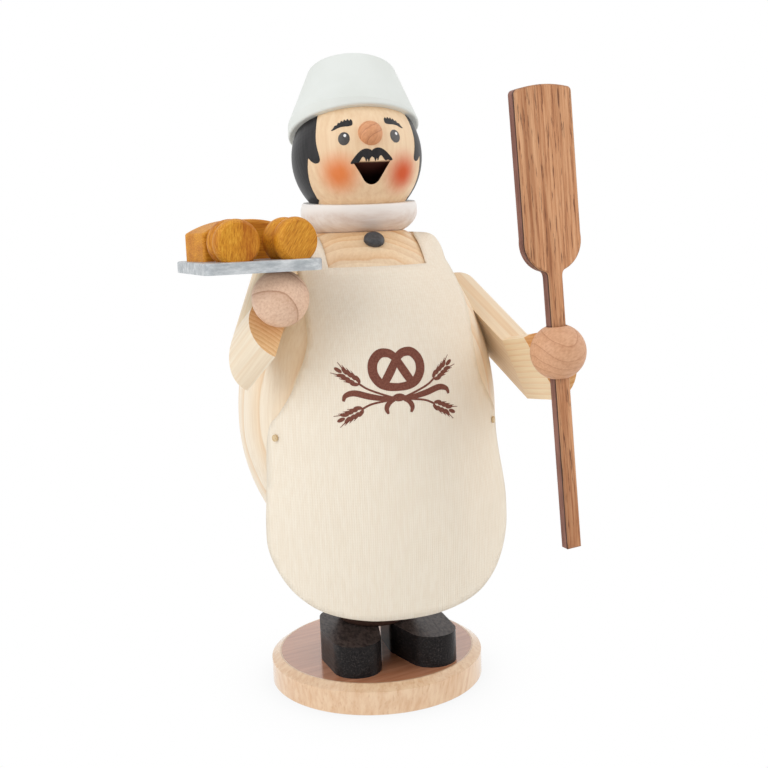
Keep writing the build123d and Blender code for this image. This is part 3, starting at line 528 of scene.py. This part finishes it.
def smooth_line(points, steps=8, closed=True):
    """Points along a soft curve through the given ones."""
    out, count = [], len(points)
    for i in range(count if closed else count - 1):
        before, first, last, after = (
            Vector(points[(i + k) % count] if closed else points[min(max(i + k, 0), count - 1)])
            for k in (-1, 0, 1, 2)
        )
        slope = last - before
        bend = 2 * before - 5 * first + 4 * last - after
        twist = 3 * first - before - 3 * last + after
        for step in range(steps):
            t = step / steps
            out.append(0.5 * (2 * first + slope * t + bend * t * t + twist * t**3))
    if not closed:
        out.append(Vector(points[-1]))
    return [(point.x, point.y) for point in out]


def oval(across, up, wide, tall, turn=0.0, count=28):
    """The outline of an oval, turned by some degrees."""
    out, turn = [], math.radians(turn)
    for i in range(count):
        x = wide * math.cos(2 * math.pi * i / count)
        y = tall * math.sin(2 * math.pi * i / count)
        turned_x = x * math.cos(turn) - y * math.sin(turn)
        turned_y = x * math.sin(turn) + y * math.cos(turn)
        out.append((across + turned_x, up + turned_y))
    return out


black = Finish("brush_black", roughness=0.4, shine=0.3)
black_strokes = black.noise(black.fibres(face_grain_way, 0.8), scale=900, detail=3)
black.colour(black.ramp(black_strokes, (0.3, srgb(20, 19, 21)), (0.7, srgb(40, 38, 40))))
eye_grey = mottled(
    "eye_paint", roughness=0.3, shine=0.5, scale=3000, detail=2,
    low=(0.3, srgb(50, 47, 46)), high=(0.7, srgb(68, 64, 62)),
)
eye_white = mottled(
    "eye_light", roughness=0.3, shine=0.5, scale=3000, detail=2,
    low=(0.3, srgb(240, 240, 240)), high=(0.7, white),
)

hair_top = 26
hair_edge = [
    (47, hair_top), (47.5, 12), (48.5, -2), (48, -15), (50, -18.5), (54.5, -18), (58, -15),
    (60.5, -11.5), (63, -15), (68, -23), (74, -33), (80, -43), (90, -47), (180, -50),
]
hair_back = range(305, 50, -8)
hair_side = smooth_line(hair_edge, steps=6, closed=False)
hair_outline = hair_side + [(360 - across, up) for across, up in reversed(hair_side[:-1])]
hair_outline += [(across, hair_top) for across in hair_back]
coat("painted_hair", [hair_outline], on_head, paint_thickness, spacing=4.0, finish=black)

eye_across = 22.8
eye_up = -3.9
eye_wide = 5.0
eye_tall = 5.6
eye_turn = 8
glint_aside = 1.2
glint_up = -1.5
glint_wide = 1.2
glint_tall = 1.3
brow_line = [
    (14.6, 7.0), (14.0, 10.4), (15.3, 12.6), (16.6, 11.4), (17.9, 13.4), (19.3, 11.8), (20.7, 13.2),
    (22.0, 11.4), (23.4, 12.5), (24.7, 10.6), (26.2, 11.2), (27.6, 9.2), (29.4, 9.1), (30.8, 7.2),
    (33.0, 5.4), (30.6, 5.2), (26.5, 6.4), (22.0, 6.7), (18.0, 6.3),
]
tash_line = [
    (0.0, -17.6), (3.6, -15.6), (7.6, -15.6), (11.8, -17.6), (16.2, -21.0), (20.4, -25.0), (18.0, -26.0),
    (15.6, -25.4), (13.4, -26.0), (11.6, -24.8), (9.8, -22.6), (8.2, -21.8), (6.8, -23.0), (5.6, -26.0),
    (4.4, -23.8), (3.2, -26.4), (1.8, -23.6), (0.0, -22.0),
]
tash_slope = 0.06
for side, word, drop in ((-1, "right", 1.4), (1, "left", 0.0)):
    eye = oval(side * eye_across, eye_up - drop, eye_wide, eye_tall, side * eye_turn)
    coat(f"{word}_eye", [eye], on_head, paint_thickness, spacing=1.5, finish=eye_grey)
    glint_across = side * eye_across + glint_aside
    glint = oval(glint_across, glint_up - drop, glint_wide, glint_tall, count=14)
    coat(f"{word}_eye_light", [glint], on_head, glint_thickness, spacing=0.9, finish=eye_white)
    brow = [(side * across, up - drop) for across, up in smooth_line(brow_line, steps=4)]
    coat(f"{word}_brow", [brow], on_head, paint_thickness, spacing=1.2, finish=black)
tash_sides = []
for side in (-1, 1):
    half = [(side * across, up) for across, up in smooth_line(tash_line, steps=4)]
    tash_sides.append([(across, up + across * tash_slope) for across, up in half])
coat("moustache", tash_sides, on_head, paint_thickness, spacing=1.2, finish=black)

# Nose: a small turned ball of beech under clear lacquer, its peg glued into the face. The lathe cuts the
# growth rings as arcs.
nose_ring = 0.0019
nose_pith_off = Vector((-0.004, 0, 0.003))


def ringed_ball(name, way, pith, ring, wander, pale, line):
    """Turned beech with thin dark lines where the growth rings come to the surface."""
    wood = Finish(name, roughness=0.5, shine=0.35)
    way = tuple(Vector(way).normalized())
    mid = tuple(a * 0.7 + b * 0.3 for a, b in zip(pale, line))
    band = wood.ramp(
        wood.rings(way, tuple(pith), ring, wander),
        (0.0, pale),
        (0.55, pale),
        (0.9, mid),
        (0.97, line),
        (1.0, pale),
    )
    speckle = wood.ramp(
        wood.noise(wood.fibres(way, 0.6), scale=1900, detail=3, rough=0.6),
        (0.3, srgb(226, 210, 198)),
        (0.62, white),
    )
    wood.colour(wood.mix(0.7, band, speckle, "MULTIPLY"))
    wood.bump(wood.noise(wood.fibres(way, 0.7), scale=2000), depth=0.00004, strength=0.3)
    return wood


def middle_of(name):
    low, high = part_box(name)
    return (low + high) / 2


nose = ringed_ball(
    "nose_beech", (0.5, -0.5, 0.7), middle_of("nose") + nose_pith_off, nose_ring, wander=0.4,
    pale=srgb(225, 163, 119), line=srgb(190, 126, 88),
)
nose.on(nodes["nose"])

# Cap: turned from one block, with a crease cut across the crown, and glued on the back of the head.
# It is sprayed with an even off-white that hides the wood.
cap = mottled(
    "cap_white", roughness=0.5, shine=0.35, scale=90, detail=3,
    low=(0.35, srgb(224, 228, 223)), high=(0.65, srgb(229, 233, 229)),
)
cap.bump(cap.noise(cap.place, scale=2500), depth=0.00003, strength=0.25)
cap.on(nodes["cap"])

# Button: a small turned mushroom painted dark grey.
# Its peg is glued into a hole drilled in the chest, above the bib.
button = mottled(
    "button_grey", roughness=0.45, shine=0.4, scale=1200, detail=3,
    low=(0.3, srgb(52, 52, 54)), high=(0.7, srgb(74, 74, 76)),
)
button.on(nodes["button"])

# Apron: one piece of stiff cream cotton with a neck loop. The bib lies on the chest, two pins hold it at
# the hips and the skirt hangs free below the belly. It sits a little to the figure's left, so its bib
# reaches farther round on that side.

# The body that the cloth lies on, and how far the cloth stands off it.
belly_size = 0.0367
belly_level = 0.0785
shoulder_rise = 0.0545
cloth_off = 0.00035
cloth_thick = 0.0005

# The skirt, from where it leaves the belly to its foot: how it bends round and how far out it hangs.
skirt_start = 0.0750
skirt_mid = 0.0540
skirt_foot = 0.0220
skirt_bend = 0.0430
skirt_ahead = 0.0376
foot_flare = 0.0040
foot_tuck = 0.0030

# The bib's top edge, the straps over the shoulders and the loop behind the neck.
bib_top = 0.1206
strap_in = 0.0134
strap_out = 0.0200
loop_in = 0.0152
wood_clear = 0.0006

# How closely the cloth is divided into faces.
lanes = 6
laid_lanes = 3
strap_rows = 12
laid_rows = 3
loop_rows = 16
grid_step = 0.0016
grid_foot = 0.0290
grid_rows = 60
grid_half = 22
rim_clear = 0.0009
neck_steps = 8
merge_within = 2e-5

# The cut edges, as points across and up, and the line that the straps follow over the shoulder.
bib_sides = {
    "left": [
        (0.0222, bib_top), (0.0236, 0.1140), (0.0245, 0.1075), (0.0241, 0.0985), (0.0253, 0.0905),
        (0.0288, 0.0840),
    ],
    "right": [
        (0.0206, bib_top), (0.0207, 0.1140), (0.0208, 0.1075), (0.0213, 0.1010), (0.0250, 0.0910),
        (0.0288, 0.0838),
    ],
}
skirt_side = [
    (0.0314, 0.0790), (0.0326, 0.0660), (0.0336, 0.0540), (0.0331, 0.0460), (0.0296, 0.0384),
    (0.0246, 0.0334), (0.0188, 0.0306), (0.0098, 0.0288), (0.0, 0.0284),
]
shoulder_turns = (36, 40, 44, 48, 50.6)
strap_crest = ((0.0217, 0.1250, 33), (0.0195, 0.1276, 58), (loop_in, 0.1282, 92))


def ease(share):
    share = min(max(share, 0.0), 1.0)
    return share * share * (3 - 2 * share)


def on_apron(across, level, height=0.0):
    """A place on the apron: on the body above the belly, and on a slack curve below it."""
    out = cloth_off + cloth_thick / 2 + height
    if level >= skirt_start:
        rise = max(level - belly_level, 0) / (shoulder_rise + out)
        reach = (belly_size + out) * math.sqrt(max(1 - rise * rise, 0))
        return Vector((across, -math.sqrt(max(reach * reach - across * across, 0)), level))
    if level >= skirt_mid:
        share = ease((skirt_start - level) / (skirt_start - skirt_mid))
        bend = belly_size + cloth_off + (skirt_bend - belly_size - cloth_off) * share
        ahead = belly_size + cloth_off + (skirt_ahead - belly_size - cloth_off) * share
    else:
        share = (skirt_mid - level) / (skirt_mid - skirt_foot)
        bend = skirt_bend + foot_flare * ease(share)
        ahead = skirt_ahead - foot_tuck * share * share
    bend += cloth_thick / 2 + height
    ahead += cloth_thick / 2 + height
    return Vector((across, bend - ahead - math.sqrt(bend * bend - across * across), level))


def strap_level(reach):
    """Height of the straps, which stand off the shoulders, at a distance from the figure's axis."""
    off = cloth_off + cloth_thick / 2
    side = []
    for turn in shoulder_turns:
        turn = math.radians(turn)
        wide = (belly_size + off) * math.cos(turn)
        side.append((wide, belly_level + (shoulder_rise + off) * math.sin(turn)))
    for wide, level, facing in strap_crest:
        facing = math.radians(facing)
        side.append((wide + off * math.cos(facing), level + off * math.sin(facing)))
    side = smooth_line(side, steps=8, closed=False)
    for (near, high), (far, low) in zip(side[::-1], side[-2::-1]):
        if reach <= far:
            return high + (low - high) * max(reach - near, 0) / (far - near)
    return side[0][1]


def strap_place(step, lane, column, corner):
    """A place on the left strap or its half of the loop, by rows from the bib and lanes from inside."""
    if step <= strap_rows:
        y = on_apron(column, bib_top).y * (1 - step / strap_rows)
        inner = max(strap_in, math.sqrt(max(loop_in**2 - y * y, 0)))
        outer = corner + (strap_out - corner) * ease(step / strap_rows)
        x = inner + (outer - inner) * lane / lanes
    else:
        angle = math.pi / 2 * (step - strap_rows) / loop_rows
        wide = loop_in + (strap_out - loop_in) * lane / lanes
        x, y = wide * math.cos(angle), wide * math.sin(angle)
    reach = math.hypot(x, y)
    on_wood = belly_level + shoulder_rise * math.sqrt(1 - (reach / belly_size) ** 2) + wood_clear
    laid = max(1 - lane / laid_lanes, 0) * min(max(strap_rows - step, 0) / laid_rows, 1)
    drop = (strap_level(reach) - on_wood) * laid
    return x, y, strap_level(reach) - drop if step else bib_top


apron_sides = {}
strap_columns = {}
for word, bib in bib_sides.items():
    apron_sides[word] = smooth_line(bib + skirt_side, steps=12, closed=False)
    strap_columns[word] = [strap_in + (bib[0][0] - strap_in) * lane / lanes for lane in range(lanes + 1)]
apron_outline = [(-x, bib_top) for x in reversed(strap_columns["right"])]
apron_outline += [(strap_in * i / neck_steps, bib_top) for i in range(1 - neck_steps, neck_steps)]
apron_outline += [(x, bib_top) for x in strap_columns["left"]]
apron_outline += apron_sides["left"][1:]
apron_outline += [(-x, z) for x, z in reversed(apron_sides["right"][1:-1])]
apron_rim = [Vector(point) for point in apron_outline]
apron_edges = [(i, (i + 1) % len(apron_rim)) for i in range(len(apron_rim))]
apron_points = list(apron_rim)
for row in range(grid_rows):
    for column in range(-grid_half, grid_half + 1):
        point = Vector((column * grid_step, grid_foot + row * grid_step))
        if min((point - edge).length for edge in apron_rim) > rim_clear:
            apron_points.append(point)
inside_rim, same_point = 1, 1e-7
apron_flat, _, apron_fills, *_ = delaunay_2d_cdt(apron_points, apron_edges, [], inside_rim, same_point)

cloth = bmesh.new()
cloth_corners = [cloth.verts.new(on_apron(point.x, point.y)) for point in apron_flat]
for fill in apron_fills:
    cloth.faces.new([cloth_corners[i] for i in fill])
for side, word in ((-1, "right"), (1, "left")):
    rows = []
    corner = bib_sides[word][0][0]
    for step in range(strap_rows + loop_rows + 1):
        row = []
        for lane, column in enumerate(strap_columns[word]):
            x, y, z = strap_place(step, lane, column, corner)
            row.append(cloth.verts.new((side * x, y, z)))
        rows.append(row)
    for before, after in zip(rows, rows[1:]):
        for i in range(lanes):
            cloth.faces.new((before[i], before[i + 1], after[i + 1], after[i]))
bmesh.ops.remove_doubles(cloth, verts=cloth.verts, dist=merge_within)
bmesh.ops.recalc_face_normals(cloth, faces=cloth.faces)
cloth_area = sum(piece.calc_area() for piece in cloth.faces)
cloth_mesh = bpy.data.meshes.new("apron_cloth")
cloth.to_mesh(cloth_mesh)
cloth.free()
apron = bpy.data.objects.new("apron_cloth", cloth_mesh)
bpy.context.scene.collection.objects.link(apron)
for piece in apron.data.polygons:
    piece.use_smooth = True
cloth_solid = apron.modifiers.new("thickness", "SOLIDIFY")
cloth_solid.thickness = cloth_thick
cloth_solid.offset = 0
bpy.context.view_layer.objects.active = apron
bpy.ops.object.select_all(action="DESELECT")
apron.select_set(True)
bpy.ops.object.modifier_apply(modifier="thickness")

warp_rate = 11000
weft_rate = 9000
cotton = Finish("apron_cotton", roughness=0.85, shine=0.15)
cotton_across = cotton.vector("DOT_PRODUCT", cotton.place, (1, 0, 0))
warp = cotton.number("SINE", cotton.number("MULTIPLY", cotton_across, warp_rate))
weft = cotton.number("SINE", cotton.number("MULTIPLY", cotton.level(), weft_rate))
weave = cotton.number("MULTIPLY_ADD", warp, 0.7, cotton.number("MULTIPLY", weft, 0.3))
cotton_threads = cotton.noise(cotton.fibres((0, 0, 1), 0.9), scale=1700, detail=3)
cotton_shade = cotton.mix(cotton.step(cotton_threads, 0.3, 0.7), srgb(245, 233, 214), srgb(249, 239, 222))
cotton_gaps = cotton.step(weave, -1, 1, first=0.0, last=0.12)
cotton.colour(cotton.mix(cotton_gaps, cotton_shade, srgb(222, 204, 176)))
cotton.bump(weave, depth=0.00005, strength=0.35)
cotton.on(apron)
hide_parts("apron")
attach(apron, "upper_part")

# Printed sign: the old bakers' sign of a pretzel between two pairs of wheat ears, tied with a ribbon.
# It is printed on the apron in one brown ink. Its lines are given in millimetres across and up.
print_off = 0.00002
print_thickness = 0.00003
per_metre = 1000
grain_pairs = 4
grain_gap = 1.25
grain_start = 0.5
grain_aside = 0.75
grain_lean = 26
grain_long = 1.08
grain_wide = 0.5
beard_spread = 0.35
beard_reach = (0.7, 2.5)
beard_width = [0.24, 0.12]
tip_grain_up = 5.6
tip_grain_long = 1.05
loop_line = [
    (0.0, 97.6), (-1.8, 99.0), (-4.2, 99.0), (-6.0, 97.0), (-6.2, 94.2), (-4.8, 91.8), (-2.6, 90.7),
    (0.4, 90.4),
]
end_line = [(0.0, 97.6), (1.2, 95.4), (2.8, 92.8), (4.4, 90.4)]
high_stem = [(0.8, 87.6), (4.2, 88.8), (8.0, 90.4), (10.2, 92.0)]
low_stem = [(0.8, 87.4), (4.4, 87.0), (7.4, 86.4), (9.8, 85.2)]
band_line = [(0.0, 88.0), (3.4, 87.7), (7.4, 88.4), (11.2, 89.4), (13.4, 88.8), (14.0, 87.4)]
tail_line = [(0.6, 87.6), (2.6, 86.6), (3.4, 85.2), (3.0, 83.8)]
knot = oval(0, 87.8, wide=1.7, tall=1.0)
ink = mottled(
    "brown_ink", roughness=0.8, shine=0.15, scale=2600, detail=3,
    low=(0.3, srgb(112, 66, 54)), high=(0.68, srgb(136, 86, 72)),
)


def stroke(line, widths):
    """The outline of a brush stroke along a line, with a width for each of its points."""
    left, right = [], []
    for i, (x, z) in enumerate(line):
        ahead = Vector(line[min(i + 1, len(line) - 1)])
        behind = Vector(line[max(i - 1, 0)])
        way = (ahead - behind).normalized()
        half = widths[i] / 2
        left.append((x - way.y * half, z + way.x * half))
        right.append((x + way.y * half, z - way.x * half))
    return left + right[::-1]


def swelling(count, widest, ends):
    """Widths of a stroke that is widest in its middle, with its ends as a share of that."""
    return [widest * (ends + (1 - ends) * math.sin(math.pi * i / (count - 1))) for i in range(count)]


def on_print(across, level, height=0.0):
    return on_apron(across / per_metre, level / per_metre, cloth_thick / 2 + height + print_off)


marks = [knot]
for turn in (1, -1):
    for line, widest, ends in (
        (loop_line, 2.4, 0.8),
        (end_line, 2.2, 0.8),
        (high_stem, 0.5, 1.0),
        (low_stem, 0.5, 1.0),
        (band_line, 1.6, 0.35),
        (tail_line, 1.3, 0.4),
    ):
        soft = smooth_line([(x * turn, z) for x, z in line], steps=6, closed=False)
        marks.append(stroke(soft, swelling(len(soft), widest, ends)))
    for stem in (high_stem, low_stem):
        tip = Vector((stem[-1][0] * turn, stem[-1][1]))
        way = (tip - Vector((stem[-2][0] * turn, stem[-2][1]))).normalized()
        cross = Vector((-way.y, way.x))
        heading = math.degrees(math.atan2(way.y, way.x))
        for grain in range(grain_pairs):
            for lean in (-1, 1):
                middle = tip + way * (grain * grain_gap + grain_start) + cross * lean * grain_aside
                turned = heading + lean * grain_lean
                marks.append(oval(middle.x, middle.y, grain_long, grain_wide, turned, count=16))
                beard = [middle + (way + cross * lean * beard_spread) * reach for reach in beard_reach]
                marks.append(stroke([tuple(point) for point in beard], beard_width))
        top = tip + way * tip_grain_up
        marks.append(oval(top.x, top.y, tip_grain_long, grain_wide, heading, count=16))
printed_sign = coat("printed_sign", marks, on_print, print_thickness, spacing=0.9, finish=ink)

# Apron pins: two small round-headed pins of pale brass.
# Each is pushed through the cloth into the hip.
brass = mottled(
    "pin_brass", roughness=0.4, shine=0.4, scale=3000, detail=2,
    low=(0.3, srgb(200, 172, 128)), high=(0.7, srgb(228, 204, 164)),
)
brass.skin.inputs["Metallic"].default_value = 0.4
brass.on(nodes["apron_pins"])

# Arms: split spruce rod, flat side in, mitred at the elbow and glued on the shoulders' milled flats.
# The growth lines run along each length and the sawn wrist ends show darker end grain.
arm_lean = math.radians(27)
arm_ring = 0.0016
arm_pith_aside = 0.030
arm_pith_out = 0.006
arm_pith_up = 0.004
arm_end_tone = srgb(250, 222, 186)
for side, name, turn, depth, tone in (
    (1, "left_upper_arm", 36, 0.7, srgb(250, 241, 229)),
    (1, "left_forearm", -9, 0.9, srgb(255, 247, 230)),
    (-1, "right_upper_arm", 50, 0.7, srgb(252, 246, 234)),
    (-1, "right_forearm", -35, 0.35, srgb(255, 254, 252)),
):
    down = Vector((side * math.sin(arm_lean), 0, -math.cos(arm_lean)))
    turn = math.radians(turn)
    way = Vector((0, -1, 0)) * math.cos(turn) + down * math.sin(turn)
    aside = way.cross(Vector((side, 0.1, 0.4))).normalized()
    pith = middle_of(name) + aside * arm_pith_aside + Vector((side * arm_pith_out, 0, arm_pith_up))
    arm = spruce(
        f"{name}_spruce", tuple(way), tuple(pith), arm_ring, wander=0.3, depth=depth, tone=tone,
        end_from=0.8, end_tone=arm_end_tone,
    )
    arm.on(nodes[name])

# Hands: turned beech balls, pegged to the forearms. The left one is drilled for the peel, the right one
# carries the tray on a peg. Their growth rings show as arcs, broad on the right and close on the left.
for name, way, pith, ring, wander, pale, line in (
    (
        "right_hand", (0.25, -0.93, 0.25), (-0.0085, 0.0, -0.0105), 0.0068, 0.35,
        srgb(238, 203, 176), srgb(196, 150, 122),
    ),
    (
        "left_hand", (0.93, 0.25, 0.28), (0.0, 0.004, -0.012), 0.0024, 1.3,
        srgb(223, 173, 136), srgb(198, 144, 107),
    ),
):
    hand = ringed_ball(f"{name}_beech", way, middle_of(name) + Vector(pith), ring, wander, pale, line)
    hand.on(nodes[name])

# Tray: a small board with rounded corners, pegged on the right hand.
# It is painted silver grey, with the brush marks still in it.
tray_turn = math.radians(9.8)
tray_strokes = (math.cos(tray_turn), math.sin(tray_turn), 0)
silver = Finish("tray_silver", roughness=0.42, shine=0.5)
silver.skin.inputs["Metallic"].default_value = 0.25
silver.colour(
    silver.ramp(
        silver.noise(silver.fibres(tray_strokes, 0.7), scale=560, detail=5, rough=0.7),
        (0.32, srgb(154, 160, 165)),
        (0.5, srgb(182, 187, 190)),
        (0.68, srgb(218, 221, 223)),
    )
)
silver.bump(silver.noise(silver.place, scale=900, detail=3), depth=0.00008, strength=0.4)
silver.on(nodes["tray"])

# Bread: a loaf sawn from a board with an arched top, and two turned double rolls sanded flat below, all
# stained ochre and glued on the tray. The stain is uneven and lets the grain show.
for name, way, depth in (
    ("loaf", (0.941, 0.339, 0), 0.7),
    ("right_double_roll", (0.05, 0.2, 1), 0.9),
    ("left_double_roll", (0.6, 0.1, 0.8), 0.3),
):
    bread = Finish(f"{name}_stain", roughness=0.5, shine=0.25)
    bread_lines = bread.fibres(way, 0.95)
    bread_grain = bread.ramp(
        bread.noise(bread_lines, scale=3200, detail=5, rough=0.7),
        (0.3, srgb(172, 100, 20)),
        (0.48, srgb(212, 140, 34)),
        (0.7, srgb(236, 176, 62)),
    )
    bread_clouds = bread.noise(bread_lines, scale=260, detail=3)
    bread_shade = bread.ramp(bread_clouds, (0.3, srgb(214, 180, 150)), (0.6, white))
    bread.colour(bread.mix(depth, bread_grain, bread_shade, "MULTIPLY"))
    bread.bump(bread.noise(bread_lines, scale=1800, detail=3), depth=0.00008, strength=0.4)
    bread.on(nodes[name])

# Peel: blade and handle sawn from one brown board with long dark grain, and pushed through the left hand.
# The sawn edges are scorched, darkest towards the front.
peel_turn = math.radians(9.0)
peel_lean = math.radians(3.7)
peel_up = (
    -math.cos(peel_turn) * math.sin(peel_lean),
    -math.sin(peel_turn) * math.sin(peel_lean),
    math.cos(peel_lean),
)
peel_front = (math.sin(peel_turn), -math.cos(peel_turn), 0)
scorch_start = 0.0003
scorch_full = 0.0008
peel = Finish("peel_walnut", roughness=0.5, shine=0.25)
peel_lines = peel.fibres(peel_up, 0.975)
peel_grain = peel.ramp(
    peel.noise(peel_lines, scale=1500, detail=6, rough=0.75),
    (0.30, srgb(134, 82, 54)),
    (0.45, srgb(204, 143, 100)),
    (0.66, srgb(236, 184, 140)),
)
peel_pores = peel.noise(peel.fibres(peel_up, 0.93), scale=2100, detail=3, rough=0.6)
peel_grain = peel.mix(peel.step(peel_pores, 0.57, 0.67, first=0, last=0.8), peel_grain, srgb(104, 62, 42))
peel_cloud = peel.ramp(
    peel.noise(peel.fibres(peel_up, 0.96), scale=300, detail=3), (0.36, srgb(206, 190, 178)), (0.56, white)
)
peel_grain = peel.mix(0.75, peel_grain, peel_cloud, "MULTIPLY")
peel_brown = peel.ramp(
    peel.noise(peel.fibres(peel_up, 0.9), scale=700, detail=3, rough=0.6),
    (0.35, srgb(112, 74, 64)),
    (0.6, srgb(146, 104, 92)),
)
peel_deep = peel.vector("SUBTRACT", peel.place, tuple(middle_of("left_hand")))
peel_deep = peel.vector("DOT_PRODUCT", peel_deep, peel_front)
peel_scorch = peel.mix(peel.step(peel_deep, scorch_start, scorch_full), peel_brown, srgb(48, 30, 27))
peel_edge = peel.step(peel.number("ABSOLUTE", peel.facing(peel_front)), 0.5, 0.8, first=1, last=0)
peel.colour(peel.mix(peel_edge, peel_grain, peel_scorch))
peel.bump(peel.noise(peel_lines, scale=1500, detail=3), depth=0.00008, strength=0.45)
peel.on(nodes["peel"])
